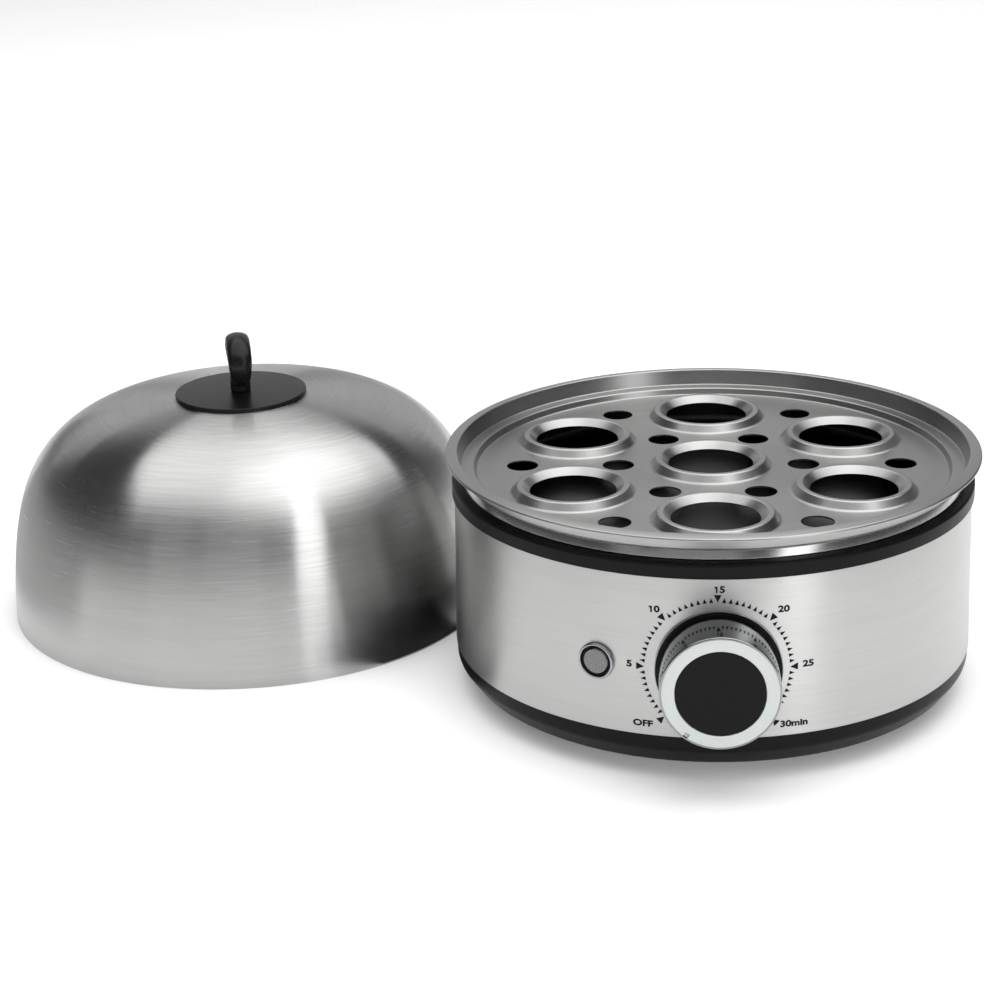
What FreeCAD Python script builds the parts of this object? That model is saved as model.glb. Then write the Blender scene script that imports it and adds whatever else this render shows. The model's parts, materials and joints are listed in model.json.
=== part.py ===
import FreeCAD, Part
import math
import os

# Electric steam cooker: a round base with a lift-out tray of seven seats, a timer knob on its front, and
# a domed lid that stands on the table beside it.
# Frame: millimetres, origin on the table under the centre of the base, +Z up, knob on the -Y side.

# Seats: one in the middle and six round it, each a raised collar with a dished top and an open middle
seat_count_round = 6
seat_brim_r = 20.7
seat_land_w = 8.1
seat_edge_gap = 4.1
seat_foot_w = 1.5
seat_collar_w = 1.9
seat_crest_w = 1.6
seat_dish_w = 2.3
seat_crest_rise = 2.7
seat_hole_rise = 0.6
seat_foot_round = 1.4
seat_crest_round = 0.9

# Steam holes: two rings of six between the seats
steam_hole_r = 5.0
steam_outer_share = 1.206
steam_inner_share = 0.59
steam_first_deg = 30.0

# Tray: one steel pressing that rests by its ledge on the bowl's rim
tray_t = 0.5
tray_well_gap = 0.7
tray_well_draft = 0.7
tray_well_depth = 2.15
tray_wall_height = 4.65
tray_draft = 1.1
tray_overhang = 1.8
tray_flange_w = 3.8
tray_lip_height = 0.6
tray_mouth_rise = 0.6
tray_round = 0.55
tray_seat_gap = 0.05

# Water bowl: a pressed steel pan whose rim turns down over the gasket
bowl_t = 0.6
bowl_wall_gap = 0.5
bowl_draft = 0.6
bowl_depth = 13.8
bowl_rim_height = 3.1
bowl_corner_round = 5.0
bowl_rim_round = 0.9

# Gasket: a soft ring in a groove of the rim ring, under the bowl's rim
gasket_w = 0.7
gasket_gap = 0.4
gasket_depth = 1.3

# Rim ring: the black moulding round the bowl, plugged into the top of the skirt
rim_width = 4.1
rim_height = 4.5
rim_face_step = 0.8
rim_edge_round = 1.0
rim_spigot_height = 6.2
rim_spigot_wall = 1.9
rim_spigot_lead = 3.8

# Skirt: a rolled steel band that leans in a little towards its top
skirt_taper = 1.0
skirt_height = 49.7
skirt_t = 0.5

# Tub: the black moulding under the skirt. Its outline steps inwards from the skirt's foot.
base_floor_z = 2.5
tub_height = 12.0
tub_side_height = 7.5
tub_knee_height = 2.1
tub_side_inset = 0.3
tub_knee_inset = 4.1
tub_bottom_inset = 4.4
tub_wall = 2.2
tub_floor_t = 2.4
tub_edge_round = 3.0
tub_spigot_height = 6.5
spigot_gap = 0.1

# Cooling slots through the tub floor
slot_count = 12
slot_inner_r = 24.0
slot_length = 20.0
slot_w = 3.0

# Rubber feet
foot_r = 7.0
foot_plug_r = 3.0
foot_plug_top_gap = 1.5
foot_edge_gap = 4.6
foot_hole_gap = 0.05
foot_names = ("right", "back", "left", "front")

# Screw posts that tie the tub to the bowl
post_count = 4
post_first_deg = 45.0
post_l = 11.0
post_wall = 2.05
post_edge_gap = 0.6
boss_wall = 2.4
boss_screw_gap = 0.25
boss_counterbore_gap = 0.3
tub_screw_r = 1.95
tub_screw_head_r = 3.7
tub_screw_head_t = 2.6
tub_screw_seat_height = 4.1
tub_screw_bite = 7.0

# Small screws
screw_r = 1.45
screw_head_r = 2.7
screw_head_t = 1.8
screw_slot_w = 0.8
screw_slot_depth = 0.8
screw_hole_gap = 0.15
screw_bite = 8.0
clip_screw_bite = 1.6

# Thermostat and the plate that clamps it to the spreader
thermostat_r = 8.0
thermostat_cup_t = 5.0
thermostat_shoulder_w = 1.0
thermostat_body_t = 6.0
thermostat_tab_w = 6.3
thermostat_tab_t = 0.8
thermostat_tab_l = 7.0
thermostat_tab_spread = 4.5
clip_t = 0.8
clip_w = 8.0
clip_gap = 0.1
clip_screw_gap = 2.4
clip_end_l = 3.5

# Thermal fuse in its sleeve, held under the spreader by a small clip
fuse_r = 2.0
fuse_l = 14.0
fuse_lead_r = 0.5
fuse_fit_gap = 0.05
fuse_sleeve_wall = 0.55
fuse_sleeve_l = 26.0
fuse_stand = 5.1
fuse_clip_w = 6.0
fuse_clip_t = 0.6
fuse_clip_tail = 10.0

# Heater ring round the fuse, and the spreader that joins it to the bowl
heater_fuse_gap = 2.46
heater_edge_gap = 10.0
heater_tube_r = 3.2
heater_gap_deg = 50.0
heater_bend_r = 6.5
heater_leg_l = 4.0
heater_pin_r = 1.1
heater_pin_l = 4.5
spreader_t = 2.0

# Terminal block on the tub floor, in front of the rear foot
block_foot_gap = 5.0
block_pitch = 9.0
block_end_w = 6.0
block_d = 16.0
block_h = 12.0
block_pad_h = 2.0
block_corner_round = 1.0
block_tunnel_r = 1.9
block_tunnel_rise = 4.0
block_screw_r = 1.7
block_screw_depth = 4.0

# Inner wires
wire_r = 1.1
wire_bend_r = 5.0
thin_wire_r = 0.7
thin_wire_bend_r = 3.0
lamp_lead_step = 7.0
lamp_lead_side_share = 0.606
lamp_lead_rear_share = 0.455
lamp_lead_back_gap = 8.0

# Timer unit: a case between the tub's floor and the spreader. The dial's axis is at its middle.
timer_top_gap = 0.2
timer_floor_gap = 11.9
timer_half_w = 19.0
timer_set_back = 3.8
timer_depth = 21.0
timer_neck_wall = 1.35
timer_neck_gap = 0.1
timer_corner_round = 2.5
timer_bay_gap = 0.8
timer_plate_t = 1.2
timer_screw_spread = 11.0
timer_tab_w = 6.3
timer_tab_t = 0.8
timer_tab_l = 7.0
timer_tab_spread = 9.0
timer_tab_drop = 8.0

# Shaft of the timer, with a flat on its knob end
shaft_r = 3.0
shaft_flat_depth = 0.7
shaft_running_gap = 0.05
shaft_in_knob = 8.0
shaft_in_timer = 12.0

# Knob: a turned shell with a flat face ring and a cap let into its face
knob_r = 17.3
knob_rear_stand = 1.6
knob_depth = 14.6
knob_wall = 1.6
knob_bevel = 0.5
knob_face_t = 3.0
knob_ring_inset = 0.6
knob_ring_w = 3.7
knob_ring_t = 0.5
knob_cap_t = 0.9
knob_cap_sunk = 0.15
knob_fit_gap = 0.05
knob_hub_wall = 2.6
knob_hub_rear_gap = 0.6
knob_pointer_deg = 217.0
knob_pointer_w = 1.6
knob_pointer_l = 1.5

# Dial bezel: a plate under the knob, held by two screws into the timer
bezel_margin = 1.2
bezel_proud = 0.3
bezel_bevel = 0.3
bezel_boss_wall = 0.45
bezel_boss_gap = 0.1

# Indicator lamp beside the dial
lamp_drop = 0.3
lamp_turn_deg = -25.4
lamp_tube_r = 4.6
lamp_tube_l = 15.0
lamp_flange_w = 1.05
lamp_flange_t = 1.1
lamp_flange_round = 0.5
lamp_lens_wall = 0.5
lamp_lens_ledge = 0.8
lamp_lens_t = 1.6
lamp_lens_gap = 0.05
lamp_hole_gap = 0.1
lamp_clip_w = 2.4
lamp_clip_t = 0.8
neon_r = 2.2
neon_l = 9.0
neon_pin_r = 0.5
neon_pin_l = 3.0

# Cord inlet bush at the back, held by a nut inside
gland_bore_r = 3.4
gland_wall = 2.0
gland_flange_w = 2.1
gland_flange_t = 3.0
gland_inner_l = 9.0
gland_nut_w = 2.8
gland_nut_t = 3.0
gland_nut_back = 0.6
gland_nut_gap = 0.8
gland_round = 1.0

# Domed lid: it rests on the tray's flange in use, and here stands beside the base
lid_overhang = 0.2
lid_apart = 6.25
lid_way_deg = 157.7
dome_h = 74.7
dome_t = 0.6
dome_outline_shares = (
    (1.0, 0.0), (0.986, 0.249), (0.944, 0.513), (0.864, 0.722),
    (0.742, 0.862), (0.570, 0.952), (0.320, 0.993), (0.0, 1.0),
)
disc_r = 22.8
disc_t = 1.2
disc_under = 2.2
disc_edge_round = 0.4
washer_r = 12.0
washer_t = 1.0

# Finger ring on the lid
handle_turn_deg = 13.0
handle_h = 20.2
handle_half_l = 13.0
handle_section_w = 8.3
handle_section_t = 4.6
handle_ring_low = 2.0
handle_foot_r = 3.5
handle_foot_w = 6.7
handle_foot_h = 5.5
handle_waist_h = 13.0
handle_foot_flare = 0.4

# Screw that holds the ring, the disc and the washer to the dome
lid_screw_r = 1.95
lid_screw_head_r = 3.8
lid_screw_head_t = 2.4
lid_screw_cover = 1.6
lid_hole_gap = 0.15

# Shared values
overrun = 5.0
full_turn_deg = 360.0
quarter_turn_deg = 90.0
half_turn_deg = 180.0

# Radii of the tray and the base, from the seats outwards
seat_pitch_r = seat_brim_r * 2 + seat_land_w
seat_foot_r = seat_brim_r - seat_foot_w
seat_crest_out_r = seat_foot_r - seat_collar_w
seat_crest_in_r = seat_crest_out_r - seat_crest_w
seat_hole_r = seat_crest_in_r - seat_dish_w
steam_outer_r = seat_pitch_r * steam_outer_share
steam_inner_r = seat_pitch_r * steam_inner_share
tray_floor_r = seat_pitch_r + seat_brim_r + seat_edge_gap
tray_ledge_r = tray_floor_r + tray_well_draft
bowl_mouth_r = tray_ledge_r + tray_t + tray_well_gap
bowl_floor_r = bowl_mouth_r - bowl_draft
rim_inner_r = bowl_mouth_r + bowl_t + bowl_wall_gap
gasket_outer_r = rim_inner_r + gasket_w
bowl_rim_r = gasket_outer_r + gasket_gap + bowl_t
skirt_top_r = rim_inner_r + rim_width
skirt_bottom_r = skirt_top_r + skirt_taper
rim_face_r = skirt_top_r + rim_face_step
tray_rim_r = rim_face_r + tray_overhang
tray_mouth_r = tray_rim_r - tray_flange_w
tray_wall_foot_r = tray_mouth_r - tray_draft
tub_side_r = skirt_bottom_r - tub_side_inset
tub_knee_r = tub_side_r - tub_knee_inset
tub_bottom_r = tub_knee_r - tub_bottom_inset
dome_r = tray_rim_r + lid_overhang

# Heights, from the table upwards
tub_knee_z = base_floor_z + tub_knee_height
tub_side_z = base_floor_z + tub_side_height
tub_floor_top_z = base_floor_z + tub_floor_t
skirt_bottom_z = base_floor_z + tub_height
tub_spigot_top_z = skirt_bottom_z + tub_spigot_height
skirt_top_z = skirt_bottom_z + skirt_height
rim_spigot_low_z = skirt_top_z - rim_spigot_height
rim_top_z = skirt_top_z + rim_height
gasket_low_z = rim_top_z - gasket_depth
bowl_rim_top_z = rim_top_z + bowl_rim_height
bowl_floor_z = bowl_rim_top_z - bowl_depth
bowl_floor_under_z = bowl_floor_z - bowl_t
tray_ledge_z = bowl_rim_top_z + tray_seat_gap + tray_t
tray_floor_z = tray_ledge_z - tray_well_depth
tray_rim_z = tray_ledge_z + tray_wall_height
tray_rim_low_z = tray_rim_z - tray_lip_height
tray_mouth_z = tray_rim_z + tray_mouth_rise
spreader_low_z = bowl_floor_under_z - spreader_t
disc_top_z = dome_h + disc_t

# Feet and posts
foot_pitch_r = tub_bottom_r - foot_edge_gap - foot_r
post_r = tub_screw_r + post_wall
post_low_z = bowl_floor_under_z - post_l
post_pitch_r = bowl_floor_r - bowl_corner_round - post_edge_gap - post_r
boss_r = tub_screw_r + boss_screw_gap + boss_wall
boss_counterbore_r = tub_screw_head_r + boss_counterbore_gap
boss_root_r = boss_counterbore_r + boss_wall
tub_screw_seat_z = tub_floor_top_z + tub_screw_seat_height
slot_outer_r = slot_inner_r + slot_length

# Heating parts, from the thermostat outwards
thermostat_body_r = thermostat_r - thermostat_shoulder_w
clip_outer_r = thermostat_r + clip_gap + clip_t
clip_reach = clip_outer_r + clip_screw_gap + screw_head_r
fuse_sleeve_r = fuse_r + fuse_fit_gap + fuse_sleeve_wall
fuse_y = clip_outer_r + fuse_stand + fuse_clip_tail
fuse_z = spreader_low_z - fuse_sleeve_r
fuse_wire_x = fuse_sleeve_l / 2 + wire_bend_r * 2
heater_ring_r = math.hypot(fuse_wire_x, fuse_y) + wire_r + heater_fuse_gap + heater_tube_r
heater_z = spreader_low_z - heater_tube_r
spreader_r = heater_ring_r + heater_edge_gap

# Terminal block and the lamp's long lead
block_w = (block_pitch + block_end_w) * 2
block_y = foot_pitch_r - foot_plug_r - block_foot_gap - block_d / 2
block_low_z = tub_floor_top_z + block_pad_h
lamp_lead_side_x = post_pitch_r * lamp_lead_side_share
lamp_lead_rear_x = post_pitch_r * lamp_lead_rear_share


def skirt_r_at(z):
    """The skirt's outer radius at a height."""
    return skirt_bottom_r - skirt_taper * (z - skirt_bottom_z) / skirt_height


# Timer, knob, lamp and cord inlet, at their places on the skirt
timer_top_z = spreader_low_z - timer_top_gap
timer_low_z = tub_floor_top_z + timer_floor_gap
timer_half_h = (timer_top_z - timer_low_z) / 2
dial_z = (timer_top_z + timer_low_z) / 2
dial_skirt_r = skirt_r_at(dial_z)
timer_front = dial_skirt_r - timer_set_back
timer_rear = timer_front - timer_depth
timer_neck_r = shaft_r + shaft_running_gap + timer_neck_wall
knob_ring_r = knob_r - knob_ring_inset
knob_cap_r = knob_ring_r - knob_ring_w
knob_hub_r = shaft_r + knob_hub_wall
knob_rear = dial_skirt_r + knob_rear_stand
knob_front = knob_rear + knob_depth
bezel_r = knob_r + bezel_margin
bezel_front = dial_skirt_r + bezel_proud
bezel_boss_r = screw_head_r + screw_hole_gap + bezel_boss_wall
lamp_z = dial_z - lamp_drop
lamp_skirt_r = skirt_r_at(lamp_z)
lamp_flange_r = lamp_tube_r + lamp_flange_w
lamp_lens_r = lamp_tube_r - lamp_lens_wall
lamp_bore_r = lamp_lens_r - lamp_lens_ledge
lamp_clip_r = lamp_tube_r + lamp_clip_w
gland_neck_r = gland_bore_r + gland_wall
gland_flange_r = gland_neck_r + gland_flange_w
gland_nut_r = gland_neck_r + gland_nut_w
gland_z = tub_spigot_top_z + gland_nut_gap + gland_nut_r
gland_skirt_r = skirt_r_at(gland_z)
lid_screw_bite = handle_ring_low + handle_section_t - lid_screw_cover

ORIGIN = FreeCAD.Vector(0, 0, 0)
X_AXIS = FreeCAD.Vector(1, 0, 0)
Y_AXIS = FreeCAD.Vector(0, 1, 0)
Z_AXIS = FreeCAD.Vector(0, 0, 1)


# Helpers
def vec(x, y, z):
    return FreeCAD.Vector(x, y, z)


def polar(radius, degrees, z=0):
    angle = math.radians(degrees)
    return vec(radius * math.cos(angle), radius * math.sin(angle), z)


def cylinder(radius, low, high, at=ORIGIN):
    return Part.makeCylinder(radius, high - low, at + vec(0, 0, low), Z_AXIS)


def box(x_low, x_high, y_low, y_high, z_low, z_high):
    corner = vec(x_low, y_low, z_low)
    return Part.makeBox(x_high - x_low, y_high - y_low, z_high - z_low, corner)


def turned(shape, degrees, axis=Z_AXIS, centre=ORIGIN):
    copy = shape.copy()
    copy.rotate(centre, axis, degrees)
    return copy


def moved(shape, offset):
    copy = shape.copy()
    copy.translate(offset)
    return copy


def fused(shapes):
    whole = shapes[0].multiFuse(shapes[1:]) if len(shapes) > 1 else shapes[0]
    return whole.removeSplitter()


def facing(shape, z, turn_deg=0):
    """Lay a piece drawn along +Z so that it points out of the base, at a height and turn from the front."""
    laid = turned(shape, quarter_turn_deg, X_AXIS)
    return moved(turned(laid, turn_deg), vec(0, 0, z))


def rounded_wire(points):
    """A wire through (point, corner radius) pairs, with a tangent arc at each inner corner."""
    edges = []
    last = points[0][0]
    for index in range(1, len(points) - 1):
        corner, radius = points[index]
        back = (points[index - 1][0] - corner).normalize()
        ahead = (points[index + 1][0] - corner).normalize()
        if radius > 0:
            half = back.getAngle(ahead) / 2
            reach = radius / math.tan(half)
            start = corner + back * reach
            end = corner + ahead * reach
            middle = corner + (back + ahead).normalize() * (radius / math.sin(half) - radius)
        else:
            start = corner
            end = corner
        if (start - last).Length > 0:
            edges.append(Part.LineSegment(last, start).toShape())
        if radius > 0:
            edges.append(Part.Arc(start, middle, end).toShape())
        last = end
    edges.append(Part.LineSegment(last, points[-1][0]).toShape())
    return Part.Wire(edges)


def profile_points(outline):
    """Outline rows of (radius, height) or (radius, height, corner radius) as points of the XZ plane."""
    return [(vec(row[0], 0, row[1]), row[2] if len(row) > 2 else 0) for row in outline]


def revolved(outline):
    """A solid of revolution from a closed outline of (radius, height, corner radius) rows."""
    points = profile_points(outline)
    wire = rounded_wire(points + [points[0]])
    return Part.Face(wire).revolve(ORIGIN, Z_AXIS, full_turn_deg)


def sheet_revolved(outline, thickness):
    """A pressed sheet of revolution. The outline is its upper face and the sheet lies to its left."""
    points = profile_points(outline)
    offset = []
    for index, (point, radius) in enumerate(points):
        normals = []
        for near, far in ((index - 1, index), (index, index + 1)):
            if near >= 0 and far < len(points):
                run = (points[far][0] - points[near][0]).normalize()
                normals.append(vec(-run.z, 0, run.x))
        if len(normals) == 1:
            offset.append((point + normals[0] * thickness, 0))
            continue
        first, second = normals
        shift = (first + second) * (thickness / (1 + first.dot(second)))
        turning_left = first.cross(second).y < 0
        other_radius = radius - thickness if turning_left else radius + thickness
        offset.append((point + shift, max(other_radius, 0) if radius > 0 else 0))
    upper = rounded_wire(points)
    lower = rounded_wire(offset)
    ends = [
        Part.LineSegment(points[-1][0], offset[-1][0]).toShape(),
        Part.LineSegment(offset[0][0], points[0][0]).toShape(),
    ]
    loop = Part.Wire(Part.__sortEdges__(upper.Edges + lower.Edges + ends))
    return Part.Face(loop).revolve(ORIGIN, Z_AXIS, full_turn_deg)


def tube_along(points, radius, bend_radius):
    """A round wire or tube through points, with an arc of the bend radius at each inner point."""
    stops = [(points[0], 0)] + [(point, bend_radius) for point in points[1:-1]] + [(points[-1], 0)]
    path = rounded_wire(stops)
    along = points[1] - points[0]
    ring = Part.Wire(Part.makeCircle(radius, points[0], along))
    return path.makePipeShell([ring], True, False)


def slotted_screw(radius, length, head_r, head_t):
    """A pan head screw along +Z: its shank runs up from the origin and its head hangs below."""
    head = cylinder(head_r, -head_t, 0)
    shank = cylinder(radius, 0, length)
    half_slot = screw_slot_w / 2
    slot = box(-head_r, head_r, -half_slot, half_slot, -head_t - overrun, -head_t + screw_slot_depth)
    return fused([head, shank]).cut(slot)


def skirt_cone(wall_shift=0):
    """The solid inside the skirt's outer face, or inside a face shifted inwards from it."""
    low_z = skirt_bottom_z - overrun
    high_z = skirt_top_z + overrun
    low_r = skirt_r_at(low_z) - wall_shift
    high_r = skirt_r_at(high_z) - wall_shift
    return Part.makeCone(low_r, high_r, high_z - low_z, vec(0, 0, low_z), Z_AXIS)


# Base mouldings and skirt
def post_places():
    step = full_turn_deg / post_count
    return [polar(post_pitch_r, post_first_deg + step * index) for index in range(post_count)]


def foot_places():
    step = full_turn_deg / len(foot_names)
    return [polar(foot_pitch_r, step * index) for index in range(len(foot_names))]


def base_tub():
    spigot_r = skirt_r_at(tub_spigot_top_z) - skirt_t - spigot_gap
    inner_r = spigot_r - tub_wall
    shell = revolved([
        (0, base_floor_z),
        (tub_bottom_r, base_floor_z),
        (tub_knee_r, tub_knee_z, tub_edge_round),
        (tub_side_r, tub_side_z, tub_edge_round),
        (tub_side_r, skirt_bottom_z),
        (spigot_r, skirt_bottom_z),
        (spigot_r, tub_spigot_top_z),
        (inner_r, tub_spigot_top_z),
        (inner_r, tub_side_z),
        (tub_knee_r - tub_wall, tub_floor_top_z + tub_wall, tub_wall),
        (tub_bottom_r - tub_wall, tub_floor_top_z),
        (0, tub_floor_top_z),
    ])
    under_z = base_floor_z - overrun
    above_z = tub_floor_top_z + overrun
    pieces = [shell]
    cuts = []
    for place in post_places():
        pieces.append(cylinder(boss_root_r, tub_floor_top_z, tub_screw_seat_z + tub_wall, place))
        pieces.append(cylinder(boss_r, tub_floor_top_z, post_low_z, place))
        cuts.append(cylinder(tub_screw_r + boss_screw_gap, under_z, post_low_z + overrun, place))
        cuts.append(cylinder(boss_counterbore_r, under_z, tub_screw_seat_z, place))
    for place in foot_places():
        cuts.append(cylinder(foot_plug_r + foot_hole_gap, under_z, above_z, place))
    bay_half_w = timer_half_w + timer_bay_gap
    cuts.append(box(-bay_half_w, bay_half_w, -skirt_bottom_r, -timer_rear + timer_bay_gap,
                    timer_low_z - timer_bay_gap, tub_spigot_top_z + overrun))
    slot = box(slot_inner_r, slot_outer_r, -slot_w / 2, slot_w / 2, under_z, above_z)
    for radius in (slot_inner_r, slot_outer_r):
        end = cylinder(slot_w / 2, under_z, above_z, vec(radius, 0, 0))
        slot = slot.fuse(end)
    pad = box(-block_w / 2, block_w / 2, block_y - block_d / 2, block_y + block_d / 2,
              tub_floor_top_z, tub_floor_top_z + block_pad_h)
    step = full_turn_deg / slot_count
    slots = [turned(slot, step * index + step / 2) for index in range(slot_count)]
    whole = fused(pieces).cut(slots)
    return fused([whole, pad]).cut(cuts)


def rubber_foot(place):
    pad = cylinder(foot_r, 0, base_floor_z, place)
    plug = cylinder(foot_plug_r, base_floor_z, tub_floor_top_z + foot_plug_top_gap, place)
    return fused([pad, plug])


def bezel_boss_offsets():
    return [vec(timer_screw_spread * side, 0, 0) for side in (-1, 1)]


def skirt_shell():
    shell = revolved([
        (skirt_bottom_r - skirt_t, skirt_bottom_z),
        (skirt_bottom_r, skirt_bottom_z),
        (skirt_top_r, skirt_top_z),
        (skirt_top_r - skirt_t, skirt_top_z),
    ])
    low = dial_skirt_r - overrun
    high = dial_skirt_r + overrun
    front = [cylinder(timer_neck_r + timer_neck_gap, low, high)]
    for offset in bezel_boss_offsets():
        front.append(cylinder(bezel_boss_r + bezel_boss_gap, low, high, offset))
    cuts = [facing(cut, dial_z) for cut in front]
    cuts.append(facing(cylinder(lamp_tube_r + lamp_hole_gap, low, high), lamp_z, lamp_turn_deg))
    cuts.append(facing(cylinder(gland_neck_r + lamp_hole_gap, low, high), gland_z, half_turn_deg))
    return shell.cut(cuts)


def rim_ring():
    spigot_r = skirt_top_r - skirt_t - spigot_gap
    return revolved([
        (rim_inner_r, rim_spigot_low_z),
        (rim_inner_r + rim_spigot_wall, rim_spigot_low_z),
        (spigot_r, skirt_top_z - rim_spigot_lead),
        (spigot_r, skirt_top_z),
        (rim_face_r, skirt_top_z),
        (rim_face_r, rim_top_z, rim_edge_round),
        (gasket_outer_r, rim_top_z),
        (gasket_outer_r, gasket_low_z),
        (rim_inner_r, gasket_low_z),
    ])


def bowl_gasket():
    return revolved([
        (rim_inner_r, gasket_low_z),
        (gasket_outer_r, gasket_low_z),
        (gasket_outer_r, bowl_rim_top_z - bowl_t),
        (rim_inner_r, bowl_rim_top_z - bowl_t),
    ])


# Bowl and the parts that tie it down
def heating_bowl():
    return sheet_revolved([
        (bowl_rim_r, rim_top_z),
        (bowl_rim_r, bowl_rim_top_z, bowl_rim_round),
        (bowl_mouth_r, bowl_rim_top_z, bowl_rim_round),
        (bowl_floor_r, bowl_floor_z, bowl_corner_round),
        (0, bowl_floor_z),
    ], bowl_t)


def bowl_posts():
    posts = []
    for place in post_places():
        post = cylinder(post_r, post_low_z, bowl_floor_under_z, place)
        hole = cylinder(tub_screw_r, post_low_z - overrun, post_low_z + tub_screw_bite, place)
        posts.append(post.cut(hole))
    return Part.makeCompound(posts)


def tub_screws():
    length = post_low_z + tub_screw_bite - tub_screw_seat_z
    screw = slotted_screw(tub_screw_r, length, tub_screw_head_r, tub_screw_head_t)
    return Part.makeCompound([moved(screw, place + vec(0, 0, tub_screw_seat_z)) for place in post_places()])


# Tray and its seats
def seat_places():
    step = full_turn_deg / seat_count_round
    places = [ORIGIN]
    for index in range(seat_count_round):
        places.append(polar(seat_pitch_r, step * index - quarter_turn_deg))
    return places


def steam_places():
    step = full_turn_deg / seat_count_round
    places = []
    for radius in (steam_inner_r, steam_outer_r):
        for index in range(seat_count_round):
            places.append(polar(radius, steam_first_deg + step * index - quarter_turn_deg))
    return places


def seat_collar():
    """One raised collar with its rounded crest, dished inwards to the hole in its middle."""
    return sheet_revolved([
        (seat_brim_r, tray_floor_z),
        (seat_foot_r, tray_floor_z, seat_foot_round),
        (seat_crest_out_r, tray_floor_z + seat_crest_rise, seat_crest_round),
        (seat_crest_in_r, tray_floor_z + seat_crest_rise, seat_crest_round),
        (seat_hole_r, tray_floor_z + seat_hole_rise),
    ], tray_t)


def egg_tray():
    pan = sheet_revolved([
        (tray_rim_r, tray_rim_low_z),
        (tray_rim_r, tray_rim_z, tray_round),
        (tray_mouth_r, tray_mouth_z, tray_round),
        (tray_wall_foot_r, tray_ledge_z, tray_round),
        (tray_ledge_r, tray_ledge_z, tray_round),
        (tray_floor_r, tray_floor_z, tray_round),
        (0, tray_floor_z),
    ], tray_t)
    low = tray_floor_z - overrun
    high = tray_floor_z + overrun
    pan = pan.cut([cylinder(seat_brim_r, low, high, place) for place in seat_places()])
    pan = pan.cut([cylinder(steam_hole_r, low, high, place) for place in steam_places()])
    collar = seat_collar()
    return fused([pan] + [moved(collar, place) for place in seat_places()])


# Dial, knob and timer, drawn along +Z from the axis of the base and then laid to the front
def dial_bezel():
    disc = Part.makeCylinder(bezel_r, bezel_front, ORIGIN, Z_AXIS)
    disc = disc.makeChamfer(bezel_bevel, [edge_at(disc, bezel_front)])
    behind = turned(moved(skirt_cone(), vec(0, 0, -dial_z)), -quarter_turn_deg, X_AXIS)
    disc = disc.cut(behind)
    head_seat = bezel_front - screw_head_t - bezel_bevel
    pieces = [disc]
    cuts = [cylinder(timer_neck_r + timer_neck_gap, 0, bezel_front + overrun)]
    for offset in bezel_boss_offsets():
        pieces.append(cylinder(bezel_boss_r, timer_front, bezel_front - bezel_bevel, offset))
        cuts.append(cylinder(screw_r + screw_hole_gap, 0, bezel_front + overrun, offset))
        cuts.append(cylinder(screw_head_r + screw_hole_gap, head_seat, bezel_front + overrun, offset))
    return facing(fused(pieces).cut(cuts), dial_z)


def edge_at(shape, height):
    """The circular edge of a shape at a height."""
    for edge in shape.Edges:
        box_of = edge.BoundBox
        if abs(box_of.ZMin - height) < bezel_bevel and abs(box_of.ZMax - height) < bezel_bevel:
            return edge


def timer_housing():
    half_w = timer_half_w
    half_h = timer_half_h
    case = box(-half_w, half_w, -half_h, half_h, timer_rear, timer_front - timer_plate_t)
    uprights = [edge for edge in case.Edges if edge.BoundBox.ZLength > timer_depth / 2]
    case = case.makeFillet(timer_corner_round, uprights)
    plate = box(-half_w, half_w, -half_h, half_h, timer_front - timer_plate_t, timer_front)
    neck = cylinder(timer_neck_r, timer_front, bezel_front - bezel_bevel)
    bore = cylinder(shaft_r + shaft_running_gap, timer_front - shaft_in_timer, bezel_front + overrun)
    cuts = [bore]
    for offset in bezel_boss_offsets():
        cuts.append(cylinder(screw_r, timer_front - screw_bite, timer_front + overrun, offset))
    return facing(fused([case, plate, neck]).cut(cuts), dial_z)


def timer_tabs():
    """Two push-on terminals on the back of the timer."""
    tabs = []
    for side in (-1, 1):
        middle = timer_tab_spread * side
        tabs.append(box(middle - timer_tab_w / 2, middle + timer_tab_w / 2,
                        -timer_tab_drop - timer_tab_t / 2, -timer_tab_drop + timer_tab_t / 2,
                        timer_rear - timer_tab_l, timer_rear))
    return facing(Part.makeCompound(tabs), dial_z)


def timer_screws():
    head_seat = bezel_front - screw_head_t - bezel_bevel
    length = head_seat - timer_front + screw_bite
    screw = turned(slotted_screw(screw_r, length, screw_head_r, screw_head_t), half_turn_deg, X_AXIS)
    screws = [moved(screw, offset + vec(0, 0, head_seat)) for offset in bezel_boss_offsets()]
    return facing(Part.makeCompound(screws), dial_z)


def shaft_flat(high):
    """The block that cuts the flat on the knob end of the shaft, and fills it in the knob's hub."""
    reach = shaft_r + overrun
    return box(-reach, reach, shaft_r - shaft_flat_depth, reach, knob_rear, high)


def timer_shaft():
    rear = timer_front - shaft_in_timer + shaft_running_gap
    front = knob_rear + knob_hub_rear_gap + shaft_in_knob
    rod = cylinder(shaft_r, rear, front)
    return facing(rod.cut(shaft_flat(front + overrun)), dial_z)


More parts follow.
